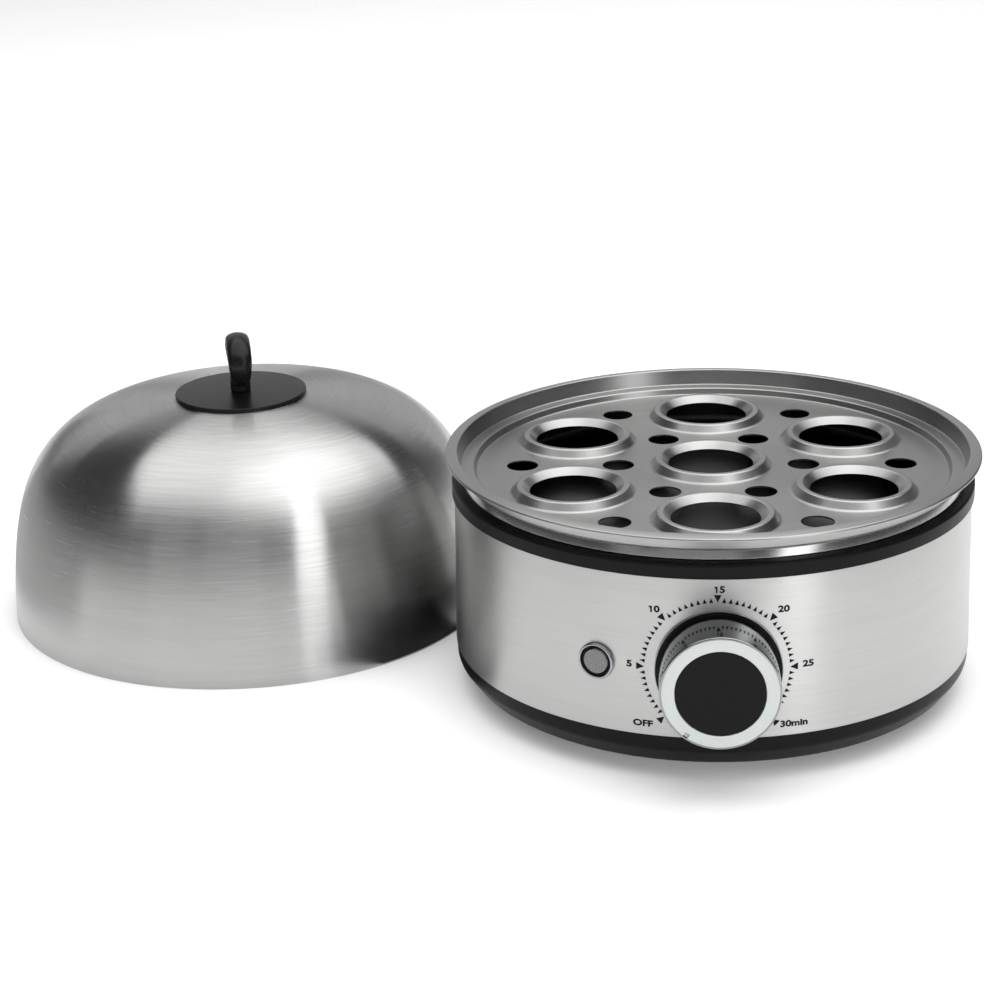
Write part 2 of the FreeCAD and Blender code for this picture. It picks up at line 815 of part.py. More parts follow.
def knob_shell():
    wall_inner_r = knob_r - knob_wall
    body = cylinder(knob_r, knob_rear, knob_front)
    body = body.makeChamfer(knob_bevel, [edge_at(body, knob_front)])
    hollow = cylinder(wall_inner_r, knob_rear - overrun, knob_front - knob_face_t)
    hub = cylinder(knob_hub_r, knob_rear + knob_hub_rear_gap, knob_front - knob_face_t)
    hole_end = knob_rear + knob_hub_rear_gap + shaft_in_knob
    hole = cylinder(shaft_r, knob_rear - overrun, hole_end)
    hole = hole.cut(shaft_flat(hole_end + overrun))
    ring_pocket = cylinder(knob_ring_r + knob_fit_gap, knob_front - knob_ring_t, knob_front + overrun)
    cap_pocket = cylinder(knob_cap_r, knob_front - knob_cap_t - knob_cap_sunk, knob_front + overrun)
    body = fused([body.cut(hollow), hub])
    return facing(body.cut([hole, ring_pocket, cap_pocket]), dial_z)


def knob_ring():
    """The flat face ring. A small notch in its edge is the pointer."""
    ring = cylinder(knob_ring_r, knob_front - knob_ring_t, knob_front)
    ring = ring.cut(cylinder(knob_cap_r + knob_fit_gap, knob_front - overrun, knob_front + overrun))
    half = knob_pointer_w / 2
    notch = box(-half, half, knob_ring_r - knob_pointer_l, knob_ring_r + overrun,
                knob_front - overrun, knob_front + overrun)
    return facing(ring.cut(turned(notch, -knob_pointer_deg)), dial_z)


def knob_cap():
    low = knob_front - knob_cap_t - knob_cap_sunk
    cap = cylinder(knob_cap_r - knob_fit_gap, low, knob_front - knob_cap_sunk)
    return facing(cap, dial_z)


# Indicator lamp
def lamp_bezel():
    rear = lamp_skirt_r - lamp_tube_l
    front = lamp_skirt_r + lamp_flange_t
    flange = cylinder(lamp_flange_r, lamp_skirt_r - lamp_flange_r, front)
    flange = flange.makeFillet(lamp_flange_round, [edge_at(flange, front)])
    behind = turned(moved(skirt_cone(), vec(0, 0, -lamp_z)), -quarter_turn_deg, X_AXIS)
    tube = cylinder(lamp_tube_r, rear, front - lamp_flange_round)
    bore = cylinder(lamp_bore_r, rear - overrun, front + overrun)
    seat = cylinder(lamp_lens_r + lamp_lens_gap, front - lamp_lens_t, front + overrun)
    body = fused([flange.cut(behind), tube]).cut([bore, seat])
    return facing(body, lamp_z, lamp_turn_deg)


def lamp_lens():
    front = lamp_skirt_r + lamp_flange_t
    lens = cylinder(lamp_lens_r, front - lamp_lens_t, front - lamp_lens_gap)
    return facing(lens, lamp_z, lamp_turn_deg)


def neon_lamp():
    front = lamp_skirt_r + lamp_flange_t - lamp_lens_t
    rear = front - neon_l
    glass = cylinder(neon_r, rear, front - neon_r)
    tip = Part.makeSphere(neon_r, vec(0, 0, front - neon_r))
    pins = []
    for side in (-1, 1):
        pins.append(cylinder(neon_pin_r, rear - neon_pin_l, rear, vec(neon_r / 2 * side, 0, 0)))
    return facing(fused([glass, tip] + pins), lamp_z, lamp_turn_deg)


def lamp_clip():
    front = lamp_skirt_r - skirt_t - lamp_flange_t
    clip = cylinder(lamp_clip_r, front - lamp_clip_t, front)
    return facing(clip.cut(cylinder(lamp_tube_r, 0, front + overrun)), lamp_z, lamp_turn_deg)


# Cord inlet
def cord_gland():
    front = gland_skirt_r + gland_flange_t
    rear = gland_skirt_r - skirt_t - gland_inner_l
    flange = cylinder(gland_flange_r, gland_skirt_r - gland_flange_t, front)
    flange = flange.makeFillet(gland_round, [edge_at(flange, front)])
    behind = turned(moved(skirt_cone(), vec(0, 0, -gland_z)), -quarter_turn_deg, X_AXIS)
    neck = cylinder(gland_neck_r, rear, front - gland_round)
    bore = cylinder(gland_bore_r, rear - overrun, front + overrun)
    body = fused([flange.cut(behind), neck]).cut(bore)
    return facing(body, gland_z, half_turn_deg)


def gland_nut():
    front = gland_skirt_r - skirt_t - gland_nut_back
    nut = cylinder(gland_nut_r, front - gland_nut_t, front)
    return facing(nut.cut(cylinder(gland_neck_r, 0, front + overrun)), gland_z, half_turn_deg)


# Heating parts
def heat_spreader():
    disc = cylinder(spreader_r, spreader_low_z, bowl_floor_under_z)
    low = spreader_low_z - overrun
    high = spreader_low_z + clip_screw_bite
    return disc.cut([cylinder(screw_r, low, high, place) for place in spreader_screw_places()])


def spreader_screw_places():
    return clip_screw_places() + [vec(0, fuse_y - fuse_clip_tail + fuse_clip_w / 2, 0)]


def clip_screw_places():
    return [vec(clip_reach * side, 0, 0) for side in (-1, 1)]


def heater_ring():
    first_deg = quarter_turn_deg + heater_gap_deg / 2
    last_deg = quarter_turn_deg - heater_gap_deg / 2 + full_turn_deg
    middle_deg = (first_deg + last_deg) / 2
    ring_start = polar(heater_ring_r, first_deg, heater_z)
    ring_end = polar(heater_ring_r, last_deg, heater_z)
    sweep = Part.Arc(ring_start, polar(heater_ring_r, middle_deg, heater_z), ring_end).toShape()
    edges = []
    for place, degrees, side in ((ring_start, first_deg, -1), (ring_end, last_deg, 1)):
        ahead = polar(side, degrees + quarter_turn_deg)
        centre = place + vec(0, 0, -heater_bend_r)
        low = centre + ahead * heater_bend_r
        halfway = math.radians(quarter_turn_deg / 2)
        rise = vec(0, 0, heater_bend_r * math.cos(halfway))
        middle = centre + ahead * (heater_bend_r * math.sin(halfway)) + rise
        bend = Part.Arc(place, middle, low).toShape()
        leg = Part.LineSegment(low, low + vec(0, 0, -heater_leg_l)).toShape()
        edges.extend([bend, leg])
    path = Part.Wire(Part.__sortEdges__(edges + [sweep]))
    foot = heater_leg_feet()[0]
    tube = path.makePipeShell([Part.Wire(Part.makeCircle(heater_tube_r, foot, Z_AXIS))], True, False)
    pins = []
    for foot in heater_leg_feet():
        pins.append(cylinder(heater_pin_r, foot.z - heater_pin_l, foot.z, vec(foot.x, foot.y, 0)))
    return Part.makeCompound([fused([tube] + pins)])


def heater_leg_feet():
    first_deg = quarter_turn_deg + heater_gap_deg / 2
    last_deg = quarter_turn_deg - heater_gap_deg / 2
    feet = []
    for degrees, side in ((first_deg, -1), (last_deg, 1)):
        place = polar(heater_ring_r, degrees, heater_z)
        ahead = polar(side, degrees + quarter_turn_deg)
        feet.append(place + ahead * heater_bend_r + vec(0, 0, -heater_bend_r - heater_leg_l))
    return feet


def thermostat():
    cup_low = spreader_low_z - thermostat_cup_t
    body_low = cup_low - thermostat_body_t
    cup = cylinder(thermostat_r, cup_low, spreader_low_z)
    body = cylinder(thermostat_body_r, body_low, cup_low)
    tabs = []
    for side in (-1, 1):
        middle = thermostat_tab_spread * side
        tabs.append(box(middle - thermostat_tab_t / 2, middle + thermostat_tab_t / 2,
                        -thermostat_tab_w / 2, thermostat_tab_w / 2, body_low - thermostat_tab_l, body_low))
    return fused([cup, body] + tabs)


def thermostat_clip():
    """A cup-shaped plate round the thermostat's shoulder, screwed to the spreader by two ears."""
    shoulder_z = spreader_low_z - thermostat_cup_t
    top = spreader_low_z + overrun
    reach = clip_reach + clip_end_l
    cup = cylinder(clip_outer_r, shoulder_z - clip_t, spreader_low_z)
    ears = box(-reach, reach, -clip_w / 2, clip_w / 2, spreader_low_z - clip_t, spreader_low_z)
    cuts = [
        cylinder(thermostat_r + clip_gap, shoulder_z, top),
        cylinder(thermostat_body_r + clip_gap, shoulder_z - overrun, top),
    ]
    for place in clip_screw_places():
        cuts.append(cylinder(screw_r + screw_hole_gap, spreader_low_z - overrun, top, place))
    return fused([cup, ears]).cut(cuts)


def fuse_rod(radius, length):
    start = vec(-length / 2, fuse_y, fuse_z)
    return Part.makeCylinder(radius, length, start, X_AXIS)


def thermal_fuse():
    return fused([fuse_rod(fuse_r, fuse_l), fuse_rod(fuse_lead_r, fuse_sleeve_l)])


def fuse_sleeve():
    sleeve = fuse_rod(fuse_sleeve_r, fuse_sleeve_l)
    return sleeve.cut(fuse_rod(fuse_r + fuse_fit_gap, fuse_sleeve_l + overrun * 2))


def fuse_clip():
    """A band under the fuse sleeve with a screwed tail towards the thermostat."""
    half = fuse_clip_w / 2
    outer_r = fuse_sleeve_r + fuse_clip_t
    band = Part.makeCylinder(outer_r, fuse_clip_w, vec(-half, fuse_y, fuse_z), X_AXIS)
    cheek = box(-half, half, fuse_y - outer_r, fuse_y + outer_r, fuse_z, spreader_low_z)
    tail = box(-half, half, fuse_y - fuse_clip_tail, fuse_y, spreader_low_z - fuse_clip_t, spreader_low_z)
    start = vec(-half - overrun, fuse_y, fuse_z)
    inside = Part.makeCylinder(fuse_sleeve_r, fuse_clip_w + overrun * 2, start, X_AXIS)
    hollow = box(-half - overrun, half + overrun, fuse_y - fuse_sleeve_r, fuse_y + fuse_sleeve_r,
                 fuse_z, spreader_low_z)
    place = spreader_screw_places()[-1]
    hole = cylinder(screw_r + screw_hole_gap, spreader_low_z - overrun, spreader_low_z + overrun, place)
    above = box(-half - overrun, half + overrun, fuse_y - overrun * 2, fuse_y + overrun * 2,
                spreader_low_z, spreader_low_z + overrun)
    return fused([band, cheek, tail]).cut([inside, hollow, hole, above])


def clip_screws():
    screws = []
    for place, strap_t in zip(spreader_screw_places(), (clip_t, clip_t, fuse_clip_t)):
        screw = slotted_screw(screw_r, strap_t + clip_screw_bite, screw_head_r, screw_head_t)
        screws.append(moved(screw, vec(place.x, place.y, spreader_low_z - strap_t)))
    return Part.makeCompound(screws)


# Terminal block and wires
def block_tunnels():
    return [vec(block_pitch * step, block_y, block_low_z + block_tunnel_rise) for step in (-1, 0, 1)]


def terminal_block():
    low = block_low_z
    high = low + block_h
    body = box(-block_w / 2, block_w / 2, block_y - block_d / 2, block_y + block_d / 2, low, high)
    uprights = [edge for edge in body.Edges if edge.BoundBox.ZLength > block_h / 2]
    body = body.makeFillet(block_corner_round, uprights)
    cuts = []
    for place in block_tunnels():
        start = vec(place.x, block_y - block_d / 2 - overrun, place.z)
        cuts.append(Part.makeCylinder(block_tunnel_r, block_d + overrun * 2, start, Y_AXIS))
        for side in (-1, 1):
            spot = vec(place.x, block_y + block_d / 4 * side, 0)
            cuts.append(cylinder(block_screw_r, high - block_screw_depth, high + overrun, spot))
    return body.cut(cuts)


def wire_ends():
    """Where wires meet the terminals: block tunnels, timer and thermostat tabs, heater pins, fuse ends."""
    tab_y = -(timer_rear - timer_tab_l)
    tab_z = dial_z - timer_tab_drop
    body_low = spreader_low_z - thermostat_cup_t - thermostat_body_t
    blocks = block_tunnels()
    feet = heater_leg_feet()
    return {
        "block_live": vec(blocks[0].x, block_y - block_d / 4, blocks[0].z),
        "block_neutral": vec(blocks[2].x, block_y - block_d / 4, blocks[2].z),
        "timer_in": vec(-timer_tab_spread, tab_y, tab_z),
        "timer_out": vec(timer_tab_spread, tab_y, tab_z),
        "thermostat_in": vec(thermostat_tab_spread, 0, body_low - thermostat_tab_l),
        "thermostat_out": vec(-thermostat_tab_spread, 0, body_low - thermostat_tab_l),
        "heater_left": feet[0] + vec(0, 0, -heater_pin_l),
        "heater_right": feet[1] + vec(0, 0, -heater_pin_l),
        "fuse_left": vec(-fuse_sleeve_l / 2, fuse_y, fuse_z),
        "fuse_right": vec(fuse_sleeve_l / 2, fuse_y, fuse_z),
        "block_rear": vec(blocks[2].x, block_y + block_d / 4, blocks[2].z),
        "timer_out_under": vec(timer_tab_spread, tab_y - timer_tab_l / 2, tab_z - timer_tab_t / 2),
    }


def lamp_pin_ends():
    """The inner ends of the lamp's two pins, and the way that points from the skirt to the middle."""
    rear = lamp_skirt_r + lamp_flange_t - lamp_lens_t - neon_l - neon_pin_l
    turn = FreeCAD.Rotation(Z_AXIS, lamp_turn_deg)
    ends = [turn.multVec(vec(neon_r / 2 * side, -rear, 0)) + vec(0, 0, lamp_z) for side in (-1, 1)]
    return ends, turn.multVec(Y_AXIS)


def lamp_wires():
    """Two thin leads from the lamp, one to the timer and one round the tub to the terminal block."""
    ends = wire_ends()
    (outer_pin, inner_pin), inward = lamp_pin_ends()
    step = inward * lamp_lead_step
    low_z = ends["block_rear"].z
    back_y = block_y + block_d / 2 + lamp_lead_back_gap
    tab = ends["timer_out_under"]
    under_z = tab.z - timer_tab_drop - thin_wire_bend_r
    to_timer = [
        inner_pin,
        inner_pin + step,
        vec(-timer_half_w / 2, ends["timer_in"].y + lamp_lead_step, under_z),
        vec(tab.x, ends["timer_in"].y + lamp_lead_step, under_z),
        vec(tab.x, tab.y, under_z),
        tab,
    ]
    to_block = [
        outer_pin,
        outer_pin + step,
        vec(-lamp_lead_side_x, outer_pin.y / 3, low_z),
        vec(-lamp_lead_rear_x, back_y, low_z),
        vec(ends["block_rear"].x, back_y, low_z),
        ends["block_rear"],
    ]
    return {
        "wire_lamp_to_timer": tube_along(to_timer, thin_wire_r, thin_wire_bend_r),
        "wire_lamp_to_block": tube_along(to_block, thin_wire_r, thin_wire_bend_r),
    }


def wires():
    """The inner wires, each from terminal to terminal, lying low between the tub floor and the bowl."""
    ends = wire_ends()
    run = wire_bend_r * 2
    lay_z = tub_floor_top_z + run
    live = [
        ends["block_live"],
        ends["block_live"] + vec(0, -block_d - run, 0),
        vec(-timer_tab_spread, ends["timer_in"].y + run * 2, ends["timer_in"].z),
        ends["timer_in"],
    ]
    feed = [
        ends["timer_out"],
        ends["timer_out"] + vec(0, run, 0),
        vec(ends["thermostat_in"].x, 0, ends["timer_out"].z - run / 2),
        ends["thermostat_in"],
    ]
    load = [
        ends["thermostat_out"],
        ends["thermostat_out"] + vec(0, 0, -run),
        ends["heater_left"] + vec(0, 0, -run),
        ends["heater_left"],
    ]
    back = [
        ends["heater_right"],
        ends["heater_right"] + vec(0, 0, -run),
        vec(fuse_wire_x, fuse_y, ends["heater_right"].z - run),
        vec(fuse_wire_x, fuse_y, fuse_z),
        ends["fuse_right"],
    ]
    neutral = [
        ends["fuse_left"],
        vec(-fuse_wire_x, fuse_y, fuse_z),
        vec(-fuse_wire_x, fuse_y, lay_z + run),
        vec(ends["block_neutral"].x, fuse_y - run, lay_z),
        ends["block_neutral"] + vec(0, -block_d - run / 2, 0),
        ends["block_neutral"],
    ]
    return {
        "wire_live": tube_along(live, wire_r, wire_bend_r),
        "wire_timer_to_thermostat": tube_along(feed, wire_r, wire_bend_r),
        "wire_thermostat_to_heater": tube_along(load, wire_r, wire_bend_r),
        "wire_heater_to_fuse": tube_along(back, wire_r, wire_bend_r),
        "wire_neutral": tube_along(neutral, wire_r, wire_bend_r),
    }


# Lid, drawn about its own axis and then set beside the base
def dome_solid(radius, height):
    points = [vec(radius * across, 0, height * up) for across, up in dome_outline_shares]
    curve = Part.BSplineCurve()
    curve.interpolate(Points=points, InitialTangent=vec(0, 0, 1), FinalTangent=vec(-1, 0, 0))
    edges = [
        curve.toShape(),
        Part.LineSegment(points[-1], ORIGIN).toShape(),
        Part.LineSegment(ORIGIN, points[0]).toShape(),
    ]
    return Part.Face(Part.Wire(edges)).revolve(ORIGIN, Z_AXIS, full_turn_deg)


def lid_dome():
    inner = dome_solid(dome_r - dome_t, dome_h - dome_t)
    hole = cylinder(lid_screw_r + lid_hole_gap, 0, dome_h + overrun)
    return dome_solid(dome_r, dome_h).cut([inner, hole])


def lid_disc():
    disc = cylinder(disc_r, dome_h - disc_under, disc_top_z)
    disc = disc.makeFillet(disc_edge_round, [edge_at(disc, disc_top_z)])
    hole = cylinder(lid_screw_r + lid_hole_gap, 0, disc_top_z + overrun)
    return disc.cut([dome_solid(dome_r, dome_h), hole])


def lid_washer():
    top = dome_h - dome_t
    washer = cylinder(washer_r, top - washer_t, top)
    hole = cylinder(lid_screw_r + lid_hole_gap, 0, dome_h + overrun)
    return washer.common(dome_solid(dome_r - dome_t, dome_h - dome_t)).cut(hole)


def lid_screw():
    low = dome_h - dome_t - washer_t
    length = disc_top_z - low + lid_screw_bite
    return moved(slotted_screw(lid_screw_r, length, lid_screw_head_r, lid_screw_head_t), vec(0, 0, low))


def lid_handle():
    """A moulded finger ring on a short foot, narrower across its foot than across its top."""
    half_h = (handle_h - handle_ring_low - handle_section_t) / 2
    path_half_l = handle_half_l - handle_section_t / 2
    middle_z = handle_ring_low + handle_section_t / 2 + half_h
    centre = vec(0, 0, middle_z)
    path = Part.Ellipse(centre + X_AXIS * path_half_l, centre + Z_AXIS * half_h, centre)
    start = centre + X_AXIS * path_half_l
    widest = start + Y_AXIS * (handle_section_w / 2)
    section = Part.Ellipse(widest, start + X_AXIS * (handle_section_t / 2), start)
    ring = Part.Wire(path.toShape()).makePipeShell([Part.Wire(section.toShape())], True, True)
    foot = revolved([
        (0, 0),
        (handle_foot_r + handle_foot_flare, 0),
        (handle_foot_r, handle_foot_flare, handle_foot_flare),
        (handle_foot_r, handle_foot_h),
        (0, handle_foot_h),
    ])
    hole = cylinder(lid_screw_r, -overrun, lid_screw_bite)
    body = fused([ring, foot]).cut(hole)
    side = handle_half_l + overrun
    top = handle_h + overrun
    outline = []
    for half, z in ((handle_foot_w, 0), (handle_foot_w, handle_foot_h), (handle_section_w, handle_waist_h),
                    (handle_section_w, top)):
        outline.append(vec(-side, half / 2, z))
    outline.extend([vec(-side, -point.y, point.z) for point in reversed(outline)])
    flank = Part.Face(Part.makePolygon(outline + [outline[0]]))
    body = body.common(flank.extrude(vec(side + side, 0, 0)))
    return moved(turned(body, handle_turn_deg - quarter_turn_deg), vec(0, 0, disc_top_z))


# All nodes
def build():
    nodes = {
        "base_tub": base_tub(),
        "skirt_shell": skirt_shell(),
        "rim_ring": rim_ring(),
        "bowl_gasket": bowl_gasket(),
        "heating_bowl": heating_bowl(),
        "bowl_posts": bowl_posts(),
        "tub_screws": tub_screws(),
        "dial_bezel": dial_bezel(),
        "timer_housing": timer_housing(),
        "timer_tabs": timer_tabs(),
        "timer_screws": timer_screws(),
        "lamp_bezel": lamp_bezel(),
        "lamp_lens": lamp_lens(),
        "lamp_clip": lamp_clip(),
        "neon_lamp": neon_lamp(),
        "cord_gland": cord_gland(),
        "gland_nut": gland_nut(),
        "heat_spreader": heat_spreader(),
        "heater_ring": heater_ring(),
        "thermostat": thermostat(),
        "thermostat_clip": thermostat_clip(),
        "thermal_fuse": thermal_fuse(),
        "fuse_sleeve": fuse_sleeve(),
        "fuse_clip": fuse_clip(),
        "clip_screws": clip_screws(),
        "terminal_block": terminal_block(),
        "egg_tray": egg_tray(),
        "timer_shaft": timer_shaft(),
        "knob_shell": knob_shell(),
        "knob_ring": knob_ring(),
        "knob_cap": knob_cap(),
    }
    for name, place in zip(foot_names, foot_places()):
        nodes["foot_" + name] = rubber_foot(place)
    nodes.update(wires())
    nodes.update(lamp_wires())
    lid_place = polar(tray_rim_r + lid_apart + dome_r, lid_way_deg)
    lid = {
        "lid_dome": lid_dome(),
        "lid_disc": lid_disc(),
        "lid_handle": lid_handle(),
        "lid_washer": lid_washer(),
        "lid_screw": lid_screw(),
    }
    for name, shape in lid.items():
        nodes[name] = moved(shape, lid_place)
    return nodes


def main():
    os.makedirs("parts", exist_ok=True)
    for name, shape in build().items():
        shape.exportStep("parts/" + name + ".step")
        print(name, "solids", len(shape.Solids), "valid", shape.isValid(), "volume", round(shape.Volume, 1))


main()
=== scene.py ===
import json
import math

import bpy
import numpy as np
from mathutils import Matrix, Quaternion, Vector


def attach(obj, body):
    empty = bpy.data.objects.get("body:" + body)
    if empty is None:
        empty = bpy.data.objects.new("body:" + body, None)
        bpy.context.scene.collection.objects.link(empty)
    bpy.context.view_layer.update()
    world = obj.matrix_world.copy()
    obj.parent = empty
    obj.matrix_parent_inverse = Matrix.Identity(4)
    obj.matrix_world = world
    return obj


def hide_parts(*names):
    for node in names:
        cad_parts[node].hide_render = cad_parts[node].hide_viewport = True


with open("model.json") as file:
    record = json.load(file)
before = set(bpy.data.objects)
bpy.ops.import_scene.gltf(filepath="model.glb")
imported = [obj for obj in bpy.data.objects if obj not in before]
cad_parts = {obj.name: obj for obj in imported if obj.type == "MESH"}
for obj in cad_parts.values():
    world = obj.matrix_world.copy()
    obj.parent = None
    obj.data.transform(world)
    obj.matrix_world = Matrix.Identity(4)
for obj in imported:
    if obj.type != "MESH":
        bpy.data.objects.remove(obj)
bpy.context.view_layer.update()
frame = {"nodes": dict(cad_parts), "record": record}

nodes = frame["nodes"]
mm = 0.001
turn = 2 * math.pi

# Sizes that the dressed pieces share with the solids, in millimetres
lid_x, lid_y = -161.4, 66.2
dome_r, dome_h, dome_t = 84.2, 74.7, 0.6
disc_r, disc_top = 22.8, 75.9
lid_hole_r = 2.1
skirt_low, skirt_high = 14.5, 64.2
skirt_low_r, skirt_high_r = 82.4, 81.4
skirt_wall = 0.5
ring_high = 68.7
bowl_low, bowl_high = 58.0, 71.8
screw_pitch_r = 66.0
foot_pitch_r = 62.0
dial_z = 36.0
dial_front = 81.967
dial_r = 18.2
lamp_z, lamp_front, lamp_turn = 35.7, 83.07, math.radians(-25.4)
cord_z, cord_front, cord_r = 30.0, 85.09, 3.4
cord_turn = math.pi

# Points nearer than these are one point, in metres
same_place = 1e-7
same_seam = 1e-6


def skirt_r(z):
    """The skirt's outer radius at a height."""
    share = (z - skirt_low) / (skirt_high - skirt_low)
    return skirt_low_r + (skirt_high_r - skirt_low_r) * share


def set_camera():
    """A camera at the photograph's angle."""
    data = bpy.data.cameras.new("camera")
    data.lens, data.sensor_width = 80.67, 36.0
    data.clip_end = 50.0
    camera = bpy.data.objects.new("camera", data)
    bpy.context.scene.collection.objects.link(camera)
    place = Vector((-21.42, -663.24, 301.02))
    pan, tilt, lean = 0.0727, 0.346, -0.03
    camera.matrix_world = (
        Matrix.Translation(place * mm)
        @ Matrix.Rotation(pan, 4, "Z")
        @ Matrix.Rotation(math.pi / 2 - tilt, 4, "X")
        @ Matrix.Rotation(lean, 4, "Z")
    )
    bpy.context.scene.camera = camera


set_camera()


# Ways of working
def alone(piece):
    """Selects one piece and nothing else."""
    if bpy.context.object and bpy.context.object.mode != "OBJECT":
        bpy.ops.object.mode_set(mode="OBJECT")
    bpy.ops.object.select_all(action="DESELECT")
    piece.select_set(True)
    bpy.context.view_layer.objects.active = piece


def pick_points(piece, test):
    """Selects the points of a piece that pass a test of their place, in edit mode."""
    bpy.ops.object.mode_set(mode="OBJECT")
    mesh = piece.data
    for part in (mesh.vertices, mesh.edges, mesh.polygons):
        part.foreach_set("select", [False] * len(part))
    for point in mesh.vertices:
        point.select = test(point.co)
    bpy.ops.object.mode_set(mode="EDIT")
    bpy.ops.mesh.select_mode(type="VERT")


def settle(piece):
    """Puts a piece's place into its mesh."""
    alone(piece)
    bpy.ops.object.transform_apply(location=True, rotation=True, scale=True)


def copied(piece, name):
    """A copy of a piece with its own mesh."""
    copy = piece.copy()
    copy.data = piece.data.copy()
    copy.name = name
    bpy.context.scene.collection.objects.link(copy)
    return copy


def joined(pieces):
    """Makes one piece of several, in the first one's name."""
    alone(pieces[0])
    for piece in pieces[1:]:
        piece.select_set(True)
    bpy.ops.object.join()
    return pieces[0]


def finished_with(piece, kind, **settings):
    """Adds a modifier to a piece, sets it and applies it."""
    alone(piece)
    bpy.ops.object.modifier_add(type=kind)
    modifier = piece.modifiers[-1]
    for name, value in settings.items():
        setattr(modifier, name, value)
    bpy.ops.object.modifier_apply(modifier=modifier.name)


def cut_by(piece, cutter, way="DIFFERENCE"):
    """Cuts a piece by another, which is then thrown away."""
    finished_with(piece, "BOOLEAN", operation=way, solver="EXACT", object=cutter)
    bpy.data.objects.remove(cutter)


def smooth(piece, degrees=30):
    """Shades a piece smooth, apart from edges sharper than an angle."""
    alone(piece)
    bpy.ops.object.shade_smooth_by_angle(angle=math.radians(degrees))


def outline_piece(name, rows, closed=False):
    """Draws an outline of (radius, height) or (radius, height, corner radius) rows in the XZ plane."""
    seed_r = 0.1
    degrees_a_segment = 11
    bpy.ops.object.select_all(action="DESELECT")
    start = (rows[0][0] * mm, 0, rows[0][1] * mm)
    bpy.ops.mesh.primitive_circle_add(vertices=3, radius=seed_r * mm, location=start)
    piece = bpy.context.object
    piece.name = piece.data.name = name
    settle(piece)
    bpy.ops.object.mode_set(mode="EDIT")
    bpy.ops.mesh.select_mode(type="VERT")
    bpy.ops.mesh.select_all(action="SELECT")
    bpy.ops.mesh.merge(type="CENTER")
    for near, far in zip(rows, rows[1:]):
        step = ((far[0] - near[0]) * mm, 0, (far[1] - near[1]) * mm)
        bpy.ops.mesh.extrude_vertices_move(TRANSFORM_OT_translate={"value": step})
    ends = [Vector((row[0] * mm, 0, row[1] * mm)) for row in (rows[0], rows[-1])]
    if closed:
        pick_points(piece, lambda co: min((co - end).length for end in ends) < same_place)
        bpy.ops.mesh.edge_face_add()
    for index, row in enumerate(rows):
        if len(row) < 3:
            continue
        corner = Vector((row[0] * mm, 0, row[1] * mm))
        near = rows[index - 1]
        far = rows[(index + 1) % len(rows)]
        back = Vector((near[0] - row[0], near[1] - row[1]))
        ahead = Vector((far[0] - row[0], far[1] - row[1]))
        bend = math.pi - back.angle(ahead)
        pick_points(piece, lambda co: (co - corner).length < same_place)
        bpy.ops.mesh.bevel(
            affect="VERTICES", offset_type="OFFSET", offset=row[2] * mm * math.tan(bend / 2),
            segments=max(2, round(math.degrees(bend) / degrees_a_segment)),
        )
    return piece


def turned(name, rows, steps, closed=False):
    """Spins an outline round the Z axis."""
    piece = outline_piece(name, rows, closed)
    bpy.ops.mesh.select_all(action="SELECT")
    bpy.ops.mesh.spin(steps=steps, angle=turn, center=(0, 0, 0), axis=(0, 0, 1))
    bpy.ops.mesh.select_all(action="SELECT")
    bpy.ops.mesh.remove_doubles(threshold=same_seam)
    bpy.ops.mesh.normals_make_consistent(inside=False)
    bpy.ops.object.mode_set(mode="OBJECT")
    return piece


def face_way(piece, way):
    """Turns an open sheet's faces so that most of them look one way."""
    total = Vector()
    for face in piece.data.polygons:
        total += face.normal * face.area
    if total.dot(way) < 0:
        alone(piece)
        bpy.ops.object.mode_set(mode="EDIT")
        bpy.ops.mesh.select_all(action="SELECT")
        bpy.ops.mesh.flip_normals()
        bpy.ops.object.mode_set(mode="OBJECT")


def walled(piece, thickness):
    """Gives a sheet its wall, under the side that it faces."""
    finished_with(
        piece, "SOLIDIFY", thickness=thickness * mm, offset=-1, use_even_offset=True,
        use_quality_normals=True, use_rim=True,
    )


def faced(piece, height, way=0.0):
    """Lays a piece turned along +Z so that it points out of the base at a height and turn."""
    piece.rotation_euler = (math.pi / 2, 0, way)
    piece.location = (0, 0, height * mm)
    settle(piece)
    return piece


def set_on(piece, body, slot, *replaced):
    """Hangs a finished piece on its body and hides the solids that it stands for."""
    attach(piece, body)
    if replaced:
        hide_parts(*replaced)


# Lid
def dome_rows(shrink, count):
    """Points down the dome's outline, on a smooth line through its eight set points."""
    shares = ((1.0, 0.0), (0.986, 0.249), (0.944, 0.513), (0.864, 0.722),
              (0.742, 0.862), (0.570, 0.952), (0.320, 0.993), (0.0, 1.0))
    points = np.array(shares) * (dome_r - shrink, dome_h - shrink)
    along = np.concatenate(([0], np.cumsum(np.hypot(*np.diff(points, axis=0).T))))
    gaps = np.diff(along)
    size = len(points)
    table = np.zeros((size, size))
    right = np.zeros((size, 2))
    table[0, 0] = table[-1, -1] = 1
    right[0] = (0, 1)
    right[-1] = (-1, 0)
    for index in range(1, size - 1):
        before, after = gaps[index - 1], gaps[index]
        table[index, index - 1:index + 2] = after, 2 * (before + after), before
        right[index] = 3 * (
            after * (points[index] - points[index - 1]) / before
            + before * (points[index + 1] - points[index]) / after
        )
    slopes = np.linalg.solve(table, right)
    rows = []
    for place in np.linspace(0, along[-1], count):
        index = min(int(np.searchsorted(along, place, "right")) - 1, size - 2)
        gap = gaps[index]
        share = (place - along[index]) / gap
        rows.append(
            points[index] * (2 * share**3 - 3 * share**2 + 1)
            + slopes[index] * gap * (share**3 - 2 * share**2 + share)
            + points[index + 1] * (3 * share**2 - 2 * share**3)
            + slopes[index + 1] * gap * (share**3 - share**2)
        )
    return [(float(r), float(z)) for r, z in rows]


